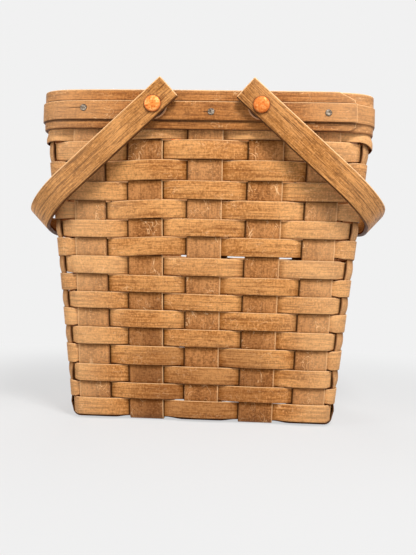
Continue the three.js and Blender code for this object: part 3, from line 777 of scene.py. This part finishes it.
def corner_share(turn, height):
    """1 in the middle of the way round a corner between two uprights' edges, falling to 0 at the edges."""
    upright = math.floor(turn)
    if not is_corner_bay(turn):
        return 0.0
    _, start_edge, end_edge, _ = bay_edges(upright, height)
    across = min(max((turn - upright - start_edge) / (end_edge - start_edge), 0.0), 1.0)
    return math.sin(math.pi * across) ** 2


def weaver_offset(turn, row, height):
    """How far out from the wall's middle surface a row's own middle surface lies."""
    side, nearest = weave(turn, row, height)
    if side > 0:
        rise = WEAVER_CORNER_RISE if is_corner_upright(nearest) else WEAVER_OUTER_RISE
        return side * rise * (1 + 0.1 * noise.noise(Vector((nearest * 1.7, row * 2.3, 0))))
    return side * WEAVER_INNER_RISE


def dips_at_corner(turn, row):
    """Whether a row goes from outside the long face's outer upright to inside the side's, at this corner."""
    upright = math.floor(turn)
    corner_upright = upright if is_corner_upright(upright) else upright + 1
    return (corner_upright + row) % 2 == 1


def is_open_edge(upright, onward):
    """Whether an upright's onward or other edge lies open to the light, so that less painted shade is put
    beside it.
    """
    face, index, _ = face_and_next(upright)
    if not face.long:
        return onward and not is_outermost(face, index)
    if 2 * index >= face.count - 1:
        return onward
    return index == 0 and not onward


def weaver_crease(turn, row, height, outer):
    """How near the outer or inner face is to the edge of an upright that covers it."""
    # This crease value sets where painted shade darkens the row
    side, nearest = weave(turn, row, height)
    if outer and is_corner_bay(turn) and not dips_at_corner(turn, row):
        return -1.0
    if outer and is_open_edge(nearest, turn > nearest):
        return min(-side, SOFT_CREASE)
    return -side if outer else side


def back_share(turn):
    """1 on the back wall and 0 on the front one."""
    from_back = abs(turn % len(UPRIGHTS) - FIRST_BACK_UPRIGHT - 2)
    return 1 - blend_between(2.5, 4.5, min(from_back, len(UPRIGHTS) - from_back))


def loosened(row, turn, upward):
    """Shifts the near edges of the two rows that stand apart, so that light comes through in front only."""
    side_middles = (upright + 1 for upright in CORNER_UPRIGHTS[::2])
    beside = 1 - blend_between(0.7, 1.7, min(turns_apart(turn, middle) for middle in side_middles))
    if row == LOOSE_GAP_ROW - 1:
        return upward * (mix(*SHIFT_BELOW_GAP, back_share(turn)) + SIDE_CLOSING * beside)
    if row == LOOSE_GAP_ROW:
        return (1 - upward) * (mix(*SHIFT_ABOVE_GAP, back_share(turn)) - SIDE_CLOSING * beside)
    return 0.0


def lay_row(row, start, turns, cuts, across, place):
    """Cuts a row's splint, long enough for so many turns, and lays it from the place `start` on."""
    foot, head = ROW_SPANS[row]
    sheet = flat_sheet(turns * SPACING, head - foot, cuts, across)
    thicken(sheet, WEAVER_THICKNESS)

    def crease(x, y, z):
        return weaver_crease(start + x / SPACING, row, (foot + head) / 2, z > 0)

    bend(sheet, head - foot, place, row, crease)
    finish_piece(f"weaver_{row + 1:02d}", sheet, WEAVER_WOOD, "basket", f"weaver_row_{row + 1:02d}")


def make_weaver(row):
    """One row: woven once round, with its ends lapped on the back wall."""
    foot, head = ROW_SPANS[row]
    middle, width = (foot + head) / 2, head - foot
    lap_start = FIRST_BACK_UPRIGHT + (1 if row % 2 == 0 else 0 if row % 4 == 1 else 2)
    turns = len(UPRIGHTS) + 2

    def place(x, y, z):
        passed = x / SPACING
        turn = lap_start + passed
        offset = weaver_offset(turn, row, middle)
        if dips_at_corner(turn, row):
            offset -= CORNER_DIP * corner_share(turn, middle)
        if passed < 2 or passed > turns - 2:
            outer = blend_between(-0.6, 0.6, weave(turn, row, middle)[0])
            offset += LAP_SPACE * (outer if passed > 2 else outer - 1)
        height = middle - drooped(row, turn) + y * (1 - drawn_in(turn, row, middle))
        height += wavy_edge(x, y, WEAVER_WAVE, 40, row)
        height += loosened(row, turn, y / width + 0.5)
        point, normal = round_wall(turn, height)
        return point + normal * (offset + z)

    lay_row(row, lap_start, turns, turns * CUTS_TO_BAY, 3, place)


def make_rim_weaver(row):
    """A row held in the rim: it lies flat on the uprights, and its ends meet on the back wall."""
    foot, head = ROW_SPANS[row]
    middle, width = (foot + head) / 2, head - foot
    butt = FIRST_BACK_UPRIGHT + 1.3

    def place(x, y, z):
        turn = butt + x / SPACING
        side, _ = weave(turn, row, middle)
        offset = min(max(2 * RIM_ROW_SEAT * side, -RIM_ROW_SEAT), RIM_ROW_SEAT)
        free = 1 - blend_between(BAND_FOOT - FLARE_HEIGHT, BAND_FOOT, middle + y)
        droop = drooped(row, turn)
        curl = curled_out(turn) * free * (1 - LEFT_UNCURLED * droop / LEFT_DROOP)
        drop = droop + FLARE_DROP * curl**3 * (0.5 - y / width)
        point, normal = round_wall(turn, middle + y - drop)
        return point + normal * (offset + FLARE * curl + z)

    lay_row(row, butt, len(UPRIGHTS) - 0.01, len(UPRIGHTS) * CUTS_TO_BAY, 8, place)


# Uprights

def covering_edge(upright, height, outer):
    """How near a height of an upright is to the edge of a row that covers it, as weave() measures it."""
    # This crease value sets the painted shadow under a covering row, weaker above it
    nearest = -1.0
    for row, (foot, head) in enumerate(ROW_SPANS):
        if ((upright + row) % 2 == 0) == outer:
            even_height = height + drooped(row, upright)
            below, above = foot - even_height, even_height - head + LESS_SHADE_ABOVE
            most = SOFT_CREASE if above > 0 else COVERED
            nearest = max(nearest, most - CREASE_RISE * max(below, above, 0.0))
    return nearest


def sway(upright, height):
    """How far the row at a height presses an upright inwards, or outwards where it is less than 0."""
    most = CORNER_UPRIGHT_SWAY if is_corner_upright(upright) else UPRIGHT_SWAY
    for row, (foot, head) in enumerate(ROW_SPANS):
        even_height = height + drooped(row, upright)
        if foot <= even_height <= head:
            side = 1 if (upright + row) % 2 == 0 else -1
            return side * most * math.sin(math.pi * (even_height - foot) / (head - foot))
    return 0.0


Station = namedtuple("Station", "section crease")


def wall_station(upright, height, onward):
    """A station of an upright on its wall: it follows the wall's curve, and lies flat near the floor."""
    number, index = UPRIGHTS[upright]
    face = FACES[number]
    slope = (face_distance(face, height + 0.001) - face_distance(face, height - 0.001)) / 0.002
    middle, middle_out = wall_point(face, upright_centre(face, index, height), height)
    tangent = Vector((-middle_out.y, middle_out.x, 0))
    share = blend_between(FLAT_BELOW, CURVED_ABOVE, height)

    def section(across):
        away = onward * across
        curved, curved_out = beside_upright(upright, away, height)
        point = (middle + tangent * away).lerp(curved, share)
        out = middle_out.lerp(curved_out, share)
        normal = Vector((-out.x, -out.y, slope)).normalized()
        return point + normal * sway(upright, height), normal

    creases = [covering_edge(upright, height, outer) for outer in (False, True)]
    return Station(section, creases)


def wall_stations(upright, onward):
    """Stations of an upright up a wall, from the top down to the floor bend."""
    top = RIM_TOP - UPRIGHT_TOP_BELOW_RIM
    heights = [mix(top, 2 * FLOOR_BEND_RADIUS, k / WALL_STEPS) for k in range(WALL_STEPS + 1)]
    return [wall_station(upright, height, onward) for height in heights]


def straight_station(point, across, normal):
    return Station(lambda away: (point + across * away, normal), [-1.0, -1.0])


def bend_stations(face, index, level, onward):
    """Stations of an upright round the bend from its wall to the floor at a level."""
    lean = math.atan(FRONT_LEAN if face.long else SIDE_LEAN)
    height = level + FLOOR_BEND_RADIUS
    centre = face_distance(face, 0) + math.tan(lean) * height - FLOOR_BEND_RADIUS / math.cos(lean)
    stations = []
    for step in range(BEND_STEPS + 1):
        angle = mix(math.pi / 2 - lean, 0, step / BEND_STEPS)
        point = face.along * upright_centre(face, index, 0)
        point += face.out * (centre + FLOOR_BEND_RADIUS * math.sin(angle))
        point.z = height - FLOOR_BEND_RADIUS * math.cos(angle)
        normal = Vector((0, 0, math.cos(angle))) - face.out * math.sin(angle)
        stations.append(straight_station(point, face.along * onward, normal))
    return stations


LOW_LEVEL = UPRIGHT_THICKNESS / 2
HIGH_LEVEL = LOW_LEVEL + UPRIGHT_THICKNESS + FIT_GAP


def floor_stations(number, index):
    """Stations of an upright under the floor, where it is woven under and over the ones that cross it."""
    face = FACES[number]
    crossing = FACES[1 - number]
    facing = face.out.dot(crossing.along)
    crossings = []
    for other in range(crossing.count):
        level = HIGH_LEVEL if (index + other + number) % 2 == 0 else LOW_LEVEL
        reach = half_upright(crossing, other) + EDGE_OVERRUN
        crossings.append((facing * upright_centre(crossing, other, 0), reach, level))
    # Each crossing upright has its place, its half width and its level, and they are met in this order
    crossings.sort(reverse=True)
    near, far = crossings[0], crossings[-1]
    stations = []
    for step in range(FLOOR_STEPS + 1):
        away = mix(near[0] + near[1], far[0] - far[1], step / FLOOR_STEPS)
        level = near[2]
        for before, after in zip(crossings, crossings[1:]):
            if away < before[0] - before[1]:
                share = blend_between(before[1] - before[0], -after[0] - after[1], -away)
                level = mix(before[2], after[2], share)
        point = face.along * upright_centre(face, index, 0) + face.out * away
        point.z = level
        stations.append(straight_station(point, face.along, Vector((0, 0, 1))))
    return stations, near[2], far[2]


def along_path(points, x):
    """Where a distance along a path lies: the number of the point before it, and the share from there."""
    after = min(max(bisect.bisect_left(points, x), 1), len(points) - 1)
    return after - 1, (x - points[after - 1]) / (points[after] - points[after - 1])


def distances(points):
    """The distance along a path of each of its points."""
    steps = [(after - before).length for before, after in zip(points, points[1:])]
    return [0.0, *itertools.accumulate(steps)]


def path_sheet(reached, width, across):
    """A flat sheet with its cuts at the distances along a path."""
    sheet = flat_sheet(1, width, len(reached) - 1, across)
    for vert in sheet.verts:
        vert.co.x = reached[round(vert.co.x * (len(reached) - 1))]
    return sheet


def make_upright(number, index, name):
    """An upright splint: down one wall, under the floor and up the opposite wall."""
    near, far = FACES[number], FACES[number + 2]
    far_index = far.count - 1 - index
    near_upright = UPRIGHTS.index((number, index))
    far_upright = UPRIGHTS.index((number + 2, far_index))
    floor, near_level, far_level = floor_stations(number, index)
    rising = [*wall_stations(far_upright, -1), *bend_stations(far, far_index, far_level, -1)]
    stations = [
        *wall_stations(near_upright, 1),
        *bend_stations(near, index, near_level, 1),
        *floor[1:],
        *reversed(rising[:-1]),
    ]
    reached = distances([station.section(0.0)[0] for station in stations])
    width = 2 * half_upright(near, index)
    sheet = path_sheet(reached, width, 6)
    thicken(sheet, UPRIGHT_THICKNESS)

    def place(x, y, z):
        before, share = along_path(reached, x)
        across = y + wavy_edge(x, y, UPRIGHT_WAVE, 30, index + 7 * number)
        start, start_normal = stations[before].section(across)
        end, end_normal = stations[before + 1].section(across)
        return start.lerp(end, share) + start_normal.lerp(end_normal, share).normalized() * z

    def crease(x, y, z):
        before, share = along_path(reached, x)
        side = 1 if z < 0 else 0
        return mix(stations[before].crease[side], stations[before + 1].crease[side], share)

    bend(sheet, width, place, ROWS + index + 5 * number, crease, -1 if near_upright == 0 else 1)
    finish_piece(f"upright_{name}", sheet, UPRIGHT_WOOD, "basket", name)


# Rim

LAP_UPRIGHT_REACH = half_upright_round(LAST_FRONT_UPRIGHT)
LAP_BAY = bay_lengths(LAST_FRONT_UPRIGHT, RIM_TOP)
LAP_FROM = LAST_FRONT_UPRIGHT - LAP_UPRIGHT_REACH / sum(bay_lengths(LAST_FRONT_UPRIGHT - 1, RIM_TOP))
LAP_TO = LAST_FRONT_UPRIGHT + (LAP_BAY[0] + LAP_END_SHARE * LAP_BAY[1]) / sum(LAP_BAY)
LAP_LENGTH = LAP_TO - LAP_FROM
RIM_TURNS = len(UPRIGHTS) + LAP_LENGTH
LAP_EASE = 0.25
# Past its lap a rim strip's start drops back to the wall within this way, and thickens more slowly
LAP_DROP = 0.12
THINNED_LENGTH = LAP_LENGTH + 1


def thinned(passed, thickness):
    """Thickness of a rim strip's start, shaved thin under its own end."""
    return mix(LAP_START_THICKNESS, thickness, min(passed / THINNED_LENGTH, 1.0))


def lapped_over(passed, thickness):
    """How far a rim strip's start lifts its end."""
    into = passed - len(UPRIGHTS)
    lift = thinned(max(into, 0.0), thickness) + SPLINT_GAP
    return lift * blend_between(-LAP_EASE, 0.0, into)


def band_face(passed):
    """Offset of the outer band's outer face, for what lies on it."""
    under = passed % len(UPRIGHTS)
    alone = BAND_SEAT + thinned(under, BAND_THICKNESS)
    if under <= LAP_LENGTH + LAP_DROP:
        lapped = alone + SPLINT_GAP + BAND_THICKNESS
        return mix(lapped, alone, blend_between(LAP_LENGTH, LAP_LENGTH + LAP_DROP, under))
    return alone + lapped_over(under, BAND_THICKNESS)


def lay_rim_strip(name, node, finish, thickness, across, grain, seat, stray, clips=()):
    """A strip nailed round the rim, cut off at its clips, whose end is lapped over its shaved start."""
    foot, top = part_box(node)[0].z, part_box(node)[1].z
    sheet = flat_sheet(RIM_TURNS * SPACING, top - foot, round(RIM_TURNS * RIM_CUTS_TO_BAY), across)
    for place_cut, direction in clips:
        cut_off(sheet, place_cut, direction)
    thicken(sheet, thickness, 3)

    def place(x, y, z):
        passed = x / SPACING
        share = z / thickness + 0.5
        inner = seat(passed) + lapped_over(passed, thickness)
        point, normal = round_wall(LAP_FROM + passed, (top + foot) / 2 + y + stray(x, y))
        return point + normal * (inner + share * thinned(passed, thickness))

    bend(sheet, top - foot, place, grain, shade_from=SHADE_FROM)
    finish_piece(name, sheet, finish, "basket", node)


def make_outer_band():
    end, half = RIM_TURNS * SPACING, (RIM_TOP - BAND_FOOT) / 2
    clips = (
        (Vector((end, half - BAND_CLIP_DEPTH, 0)), Vector((BAND_CLIP_DEPTH, BAND_CLIP_LENGTH, 0))),
        (Vector((end, BAND_LOW_CLIP - half, 0)), Vector((BAND_LOW_CLIP, -BAND_LOW_CLIP, 0))),
    )

    def seat(passed):
        return BAND_SEAT

    def stray(x, y):
        return min(wavy_edge(x, y, BAND_WAVE, 12, 3), 0.0)

    measures = (BAND_THICKNESS, 6, BAND_GRAIN)
    lay_rim_strip("outer_band", "rim_outer_band", BAND_WOOD, *measures, seat, stray, clips)


def make_trim():
    def seat(passed):
        return band_face(passed) + SPLINT_GAP

    def stray(x, y):
        return wavy_edge(x, y, TRIM_WAVE, 12, 5)

    measures = (TRIM_THICKNESS, 4, TRIM_GRAIN)
    lay_rim_strip("trim_strip", "rim_trim_strip", RIM_WOOD, *measures, seat, stray)


def make_inner_band():
    width = RIM_TOP - BAND_FOOT
    turns = len(UPRIGHTS) - 0.012
    sheet = flat_sheet(turns * SPACING, width, len(UPRIGHTS) * RIM_CUTS_TO_BAY, 6)
    thicken(sheet, BAND_THICKNESS, 3)
    middle = (RIM_TOP + BAND_FOOT) / 2

    def place(x, y, z):
        point, normal = round_wall(FIRST_BACK_UPRIGHT + 3.5 + x / SPACING, middle + y)
        return point + normal * (z - BAND_SEAT - BAND_THICKNESS / 2)

    bend(sheet, width, place, INNER_BAND_GRAIN)
    finish_piece("inner_band", sheet, RIM_WOOD, "basket", "rim_inner_band")


# Nails, rivets and washers

def ring_of(lathe, radius, height, steps):
    """The points of a round piece at one point of its profile, which on its axis are all the same one."""
    if radius == 0:
        return [lathe.verts.new((0, 0, height))] * steps
    angles = [2 * math.pi * step / steps for step in range(steps)]
    return [lathe.verts.new((radius * math.cos(angle), radius * math.sin(angle), height)) for angle in angles]


def turned(profile, steps, rim_from):
    """A round piece turned about Z from its profile of (radius, height) points, its rim beyond a radius."""
    lathe = bmesh.new()
    made = {point: ring_of(lathe, *point, steps) for point in profile}
    for point, after in zip(profile, profile[1:]):
        for step in range(steps):
            corners = (made[point][step - 1], made[point][step], made[after][step], made[after][step - 1])
            lathe.faces.new(list(dict.fromkeys(corners)))
    bmesh.ops.recalc_face_normals(lathe, faces=lathe.faces)
    rim = lathe.verts.layers.float.new("rim")
    for vert in lathe.verts:
        vert[rim] = 1.0 if vert.co.xy.length > rim_from else 0.0
    return lathe


def stand_on(lathe, place, out):
    """Turns a round piece's axis to `out` and moves it to its place."""
    lay = Vector((0, 0, 1)).rotation_difference(out).to_matrix().to_4x4()
    bmesh.ops.transform(lathe, matrix=Matrix.Translation(place) @ lay, verts=lathe.verts)


def make_nail(name, upright):
    """A flat-headed nail, with its head set into the trim and its point through the inner band."""
    low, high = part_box(f"nail_{name}")
    middle = (low + high) / 2
    face = FACES[UPRIGHTS[upright][0]]
    place, out = wall_point(face, face.along.dot(middle), middle.z)
    passed = (upright - LAP_FROM) % len(UPRIGHTS)
    seat = band_face(passed) + SPLINT_GAP + TRIM_THICKNESS
    if upright == LAST_FRONT_UPRIGHT:
        seat += lapped_over(passed + len(UPRIGHTS), TRIM_THICKNESS)
    tip = -BAND_SEAT - BAND_THICKNESS - NAIL_POINT
    radius = NAIL_HEAD_RADIUS
    profile = [
        (0, seat + 0.0003), (radius * 0.45, seat + 0.00032), (radius * 0.8, seat + 0.00045),
        (radius * 0.95, seat + 0.00036), (radius, seat + 0.0001), (radius * 0.9, seat - 0.0002),
        (NAIL_SHANK_RADIUS, seat - 0.0003), (NAIL_SHANK_RADIUS, tip + 0.0014), (0, tip),
    ]
    nail = turned(profile, 24, radius * 0.85)
    stand_on(nail, place, out)
    finish_piece(f"flat_nail_{name}", nail, NAIL_STEEL, "basket", f"nail_{name}")


def pivot_of(handle):
    return next(joint for joint in frame["joints"] if joint["child"] == handle)["pos_m"]


def pivot_line(name):
    """Where a rivet's axis crosses the wall's middle surface, and the way out along it."""
    side = -1 if name.startswith("front") else 1
    x, _, height = pivot_of(name.split("_")[1] + "_handle")
    return Vector((x, side * half_depth(RIM_TOP), height)), Vector((0, side, 0))


def outward_span(name):
    """How far out from the wall's middle surface a round solid starts and ends."""
    low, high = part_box(name)
    wall = half_depth(RIM_TOP)
    return (-high.y - wall, -low.y - wall) if high.y < 0 else (low.y - wall, high.y - wall)


def make_rivet(name):
    """A rivet: a broad flat head outside, a straight shank and a peened tail inside."""
    place, out = pivot_line(name)
    tail, top = outward_span(f"rivet_{name}")
    radius = RIVET_HEAD_RADIUS
    profile = [
        (0, top), (radius * 0.5, top - 0.00004), (radius * 0.8, top - 0.00016),
        (radius * 0.93, top - 0.00045), (radius * 0.99, top - 0.0009),
        (radius, top - 0.0013), (radius * 0.95, top - 0.0019),
        (RIVET_SHANK_RADIUS, top - RIVET_HEAD_HEIGHT - FIT_GAP), (RIVET_SHANK_RADIUS, tail + 0.0008),
        (RIVET_TAIL_RADIUS, tail + 0.0007), (RIVET_TAIL_RADIUS * 0.9, tail + 0.0003),
        (RIVET_TAIL_RADIUS * 0.5, tail + 0.0001), (0, tail),
    ]
    rivet = turned(profile, 40, radius * 0.9)
    stand_on(rivet, place, out)
    finish_piece(f"copper_rivet_{name}", rivet, COPPER, "basket", f"rivet_{name}")


def make_ring(name, kind, node, radius, finish):
    """A flat ring with soft edges round a rivet's shank."""
    inner, outer = outward_span(f"{node}_{name}")
    hole = RIVET_SHANK_RADIUS + RING_PLAY
    soft = (outer - inner) * 0.25
    profile = [
        (hole, inner + soft), (hole + soft, inner), (radius - soft, inner), (radius, inner + soft),
        (radius, outer - soft), (radius - soft, outer), (radius - WORN_AND_LIT_RIM, outer),
        (radius - WORN_AND_LIT_RIM - soft, outer), (hole + soft, outer), (hole, outer - soft), (hole, inner + soft),
    ]
    ring = turned(profile, 36, radius - WORN_AND_LIT_RIM * 1.01)
    stand_on(ring, *pivot_line(name))
    finish_piece(f"{kind}_{name}", ring, finish, "basket", f"{node}_{name}")


# Handles

def bow_path(handle_reach):
    """The centreline of a bow from one tail to the other: X away from the pivots, Y along them."""
    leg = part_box("rivet_front_right")[0].y
    half = -leg - RIVET_HEAD_HEIGHT - FIT_GAP - HANDLE_THICKNESS / 2
    crown = handle_reach - HANDLE_THICKNESS / 2
    radius = HANDLE_BEND_RADIUS
    bend_centre = crown - HANDLE_ARCH - radius
    arch_angle = math.atan(2 * HANDLE_ARCH / (half - radius))
    points = [Vector((mix(-HANDLE_TAIL, bend_centre, k / LEG_STEPS), -half, 0)) for k in range(LEG_STEPS)]
    for k in range(ELBOW_STEPS + 1):
        angle = (math.pi / 2 - arch_angle) * k / ELBOW_STEPS
        away = radius * (1 - math.cos(angle))
        points.append(Vector((bend_centre + radius * math.sin(angle), away - half, 0)))
    shoulder = points[-1]
    for k in range(1, CROWN_STEPS + 1):
        rest = 1 - k / CROWN_STEPS
        points.append(Vector((crown - (crown - shoulder.x) * rest**2, shoulder.y * rest, 0)))
    return points + [Vector((point.x, -point.y, 0)) for point in reversed(points[:-1])]


def inside_shade(x, y, z):
    """The inner face of a bow gets painted shade, darker than the outer one."""
    return INNER_SHADE if z < 0 else -1.0


def make_handle(name, side, handle_reach, below_level):
    """A bentwood bow, lowered towards its side of the basket: `side` is 1 for the right one."""
    points = bow_path(handle_reach)
    reached = distances(points)
    sheet = path_sheet(reached, HANDLE_WIDTH, 4)
    round_corners(sheet, HANDLE_CORNER)
    thicken(sheet, HANDLE_THICKNESS, 4, HANDLE_ROUNDING)
    angle = below_level if side > 0 else math.pi - below_level
    lowered = Matrix.Translation(pivot_of(name)) @ Matrix.Rotation(angle, 4, "Y")

    def place(x, y, z):
        before, share = along_path(reached, x)
        point = points[before].lerp(points[before + 1], share)
        start = points[max(before - 1, 0)]
        end = points[min(before + 2, len(points) - 1)]
        onward = (end - start).normalized()
        outward = Vector((onward.y, -onward.x, 0))
        return lowered @ (point + outward * z + Vector((0, 0, y + side * HANDLE_HOLE_OFF_CENTRE)))

    bend(sheet, HANDLE_WIDTH, place, HANDLE_GRAIN + side, inside_shade, side)
    finish_piece(f"bow_{name}", sheet, HANDLE_WOOD, name, name)


# What this basket's pieces are finished in

# Which cut of the grain's pattern each strip has, after the rows and the uprights
BAND_GRAIN = 27
TRIM_GRAIN = 28
INNER_BAND_GRAIN = 29
HANDLE_GRAIN = 30


def nail_crack(name, upright, before, beyond):
    """The crack along the trim's grain through a front nail, which runs so far before it and beyond it."""
    low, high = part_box(f"nail_{name}")
    stray = (low.x + high.x) / 2 - upright_centre(FACES[0], upright, RIM_TOP) + (beyond - before) / 2
    along = (len(UPRIGHTS) + upright - LAP_FROM) * SPACING + stray
    across = (low.z + high.z) / 2 - (TRIM_TOP + TRIM_FOOT) / 2 + GRAIN_SHIFT * TRIM_GRAIN + TRIM_THICKNESS / 2
    return along, across, (before + beyond) / 2, CRACK_WIDTH


def rivet_shade_rings():
    """The rings of painted shade round the rivets' heads on both handles."""
    spots = []
    for side, handle_reach in ((-1, LEFT_HANDLE_REACH), (1, RIGHT_HANDLE_REACH)):
        length = distances(bow_path(handle_reach))[-1]
        across = HANDLE_THICKNESS / 2 - side * HANDLE_HOLE_OFF_CENTRE + GRAIN_SHIFT * (HANDLE_GRAIN + side)
        for along in (HANDLE_TAIL, length - HANDLE_TAIL):
            spots.append((along, across, RIVET_SHADE_RADIUS, RIVET_SHADE_RADIUS))
    return spots


# Up to here, past its lap, a rim strip gets little painted shade
SHADE_FROM = (LAP_LENGTH + 1) * SPACING
BAND_MIDDLE = (RIM_TOP + BAND_FOOT) / 2
HALF_BAND = (RIM_TOP - BAND_FOOT) / 2
# Lines on the band along the trim's top and foot, where painted shade lies in the gap beside the trim
BESIDE_TRIM = ((TRIM_TOP - BAND_MIDDLE) / HALF_BAND + 0.03, (TRIM_FOOT - BAND_MIDDLE) / HALF_BAND - 0.03)
TRIM_CRACKS = [nail_crack("front_left", 0, 0.008, 0.005), nail_crack("front_middle", 2, 0.0066, 0.003)]
# A near-black for grime, pores and cracks, and for painted shade
GRIME_AND_SHADE = linear((46, 25, 11))
# A pale tint for wear and scratches, and for painted highlight
WORN_AND_HIGHLIT = linear((246, 198, 144))
RIM_TONES = ((196, 130, 70), (156, 94, 41), (94, 49, 16))

WEAVER_WOOD = wood(
    "weaver_wood", (230, 165, 98), (190, 123, 60), (114, 62, 24),
    lines=0.8, mottle=0.8, pores=0.15, corner_paling=0.32,
)
UPRIGHT_WOOD = wood(
    "upright_wood", (202, 138, 80), (162, 102, 50), (98, 54, 22),
    lines=0.4, mottle=1.1, scratches=0.9, roughness=0.58, corner_paling=0.3,
)
BAND_WOOD = wood("band_wood", *RIM_TONES, lines=0.9, mottle=0.8, corner_paling=0.25, shade_lines=BESIDE_TRIM)
RIM_WOOD = wood("trim_wood", *RIM_TONES, lines=0.9, mottle=0.8, corner_paling=0.25, spots=TRIM_CRACKS)
HANDLE_WOOD = wood(
    "bow_wood", (214, 150, 86), (174, 113, 52), (92, 50, 18),
    lines=1.3, mottle=0.6, pores=0.5, scratches=0.1, roughness=0.46, spots=rivet_shade_rings(),
)
COPPER = beaten_metal(
    "copper", (254, 190, 116), (236, 138, 58), (188, 94, 20), 0.5, 0.5, 550.0, (206, 112, 50), right_tint=0.5
)
NAIL_STEEL = beaten_metal(
    "nail_metal", (190, 176, 160), (134, 118, 100), (62, 48, 38), 0.6, 0.5, 1100.0, (58, 46, 36)
)
LEATHER = washer_leather()


# The basket

for row in range(ROWS - RIM_ROWS):
    make_weaver(row)
for row in range(ROWS - RIM_ROWS, ROWS):
    make_rim_weaver(row)
for index in range(FACES[0].count):
    make_upright(0, index, f"front_back_upright_{index + 1}")
for index in range(FACES[1].count):
    make_upright(1, index, f"left_right_upright_{index + 1}")
make_outer_band()
make_trim()
make_inner_band()

NAIL_NAMES = (
    "front_left", "front_middle", "front_right", "right", "back_right", "back_middle", "back_left", "left"
)
for number, name in enumerate(NAIL_NAMES):
    make_nail(name, 2 * number)
for name in ("front_left", "front_right", "back_left", "back_right"):
    make_rivet(name)
    make_ring(name, "copper_burr", "rivet_burr", BURR_RADIUS, COPPER)
    make_ring(name, "leather_washer", "washer", WASHER_RADIUS, LEATHER)
make_handle("left_handle", -1, LEFT_HANDLE_REACH, LEFT_HANDLE_BELOW_LEVEL)
make_handle("right_handle", 1, RIGHT_HANDLE_REACH, RIGHT_HANDLE_BELOW_LEVEL)


# Studio

def background_rays(tree):
    """1 for rays from the camera and those that metal and glass send out, and 0 for the light's own."""
    path = add_node(tree, "ShaderNodeLightPath")
    seen = maths(tree, "MAXIMUM", path.outputs["Is Camera Ray"], path.outputs["Is Glossy Ray"])
    return maths(tree, "MAXIMUM", seen, path.outputs["Is Transmission Ray"])


BACKGROUND = (0.88, 0.88, 0.88, 1.0)
SKY_LEVEL = 0.11
FLOOR_COLOUR = (0.7, 0.7, 0.7, 1.0)
FLOOR_HALF_SIZE = 6
FLOOR_DROP = 0.0002
# The background's own light fills this share of the shadow on the floor, and all of it further off
SHADOW_FADE = 0.65
SHADOW_NEAR = 0.16
SHADOW_FAR = 0.5
# Each lamp's place, the height that it is aimed at, its power and its size
LAMPS = {
    "key": ((0.20, -0.55, 0.80), 0.12, 7.0, 0.22),
    "left": ((-0.42, -0.34, 0.28), 0.14, 0.9, 0.25),
    "right": ((0.42, -0.34, 0.28), 0.14, 0.7, 0.25),
    "back": ((-0.10, 0.65, 0.60), 0.12, 2.6, 0.30),
}


def make_sky(level):
    """An even pale surround, which the camera sees as the background."""
    world = bpy.data.worlds.new("studio")
    bpy.context.scene.world = world
    world.use_nodes = True
    tree = world.node_tree
    sky = tree.nodes["Background"]
    seen = background_rays(tree)
    tree.links.new(mixed(tree, seen, (1.0, 1.0, 1.0, 1.0), BACKGROUND), sky.inputs["Color"])
    tree.links.new(ranged(tree, seen, 0.0, 1.0, level, 1.0), sky.inputs["Strength"])


def make_floor():
    """A pale floor that takes the object's shadow near it and runs into the background further off."""
    sheet = bmesh.new()
    bmesh.ops.create_grid(sheet, x_segments=1, y_segments=1, size=FLOOR_HALF_SIZE)
    bmesh.ops.translate(sheet, verts=sheet.verts, vec=(0, 0, -FLOOR_DROP))
    finish, tree, shader = new_finish("floor")
    shader.inputs["Base Color"].default_value = FLOOR_COLOUR
    shader.inputs["Roughness"].default_value = 0.9
    shader.inputs["Specular IOR Level"].default_value = 0.0
    glow = add_node(tree, "ShaderNodeEmission", [("Color", BACKGROUND), ("Strength", 1.0)])
    place = add_node(tree, "ShaderNodeTexCoord").outputs["Object"]
    far = ranged(tree, length_of(tree, place), SHADOW_NEAR, SHADOW_FAR, SHADOW_FADE, 1.0)
    parts = [(1, shader.outputs["BSDF"]), (2, glow.outputs["Emission"])]
    join = add_node(tree, "ShaderNodeMixShader", [(0, multiplied(tree, far, background_rays(tree))), *parts])
    tree.links.new(join.outputs["Shader"], tree.nodes["Material Output"].inputs["Surface"])
    floor = solid("floor", sheet, finish)


def make_lamp(name, place, aim_height, power, size):
    """A square soft lamp, near enough that its light falls off down the basket."""
    lamp = bpy.data.lights.new(name, "AREA")
    lamp.energy = power
    lamp.size = size
    lantern = stand_in_scene(name, lamp)
    lantern.location = place
    aim = Vector((0, 0, aim_height)) - Vector(place)
    lantern.rotation_euler = aim.to_track_quat("-Z", "Y").to_euler()


def make_camera():
    camera = bpy.data.cameras.new("camera")
    camera.sensor_fit = "VERTICAL"
    camera.sensor_height = SENSOR_HEIGHT
    camera.lens = FOCAL_PIXELS * SENSOR_HEIGHT / PHOTO_HEIGHT
    camera.clip_start = 0.01
    viewer = stand_in_scene("camera", camera)
    aim = Matrix.Rotation(CAMERA_TURN, 4, "Z") @ Matrix.Rotation(math.pi / 2 + CAMERA_PITCH, 4, "X")
    viewer.matrix_world = Matrix.Translation(CAMERA_PLACE) @ aim @ Matrix.Rotation(CAMERA_ROLL, 4, "Z")
    bpy.context.scene.camera = viewer


make_camera()
make_sky(SKY_LEVEL)
make_floor()
for lamp, setting in LAMPS.items():
    make_lamp(lamp, *setting)
bpy.context.scene.view_settings.view_transform = "Standard"
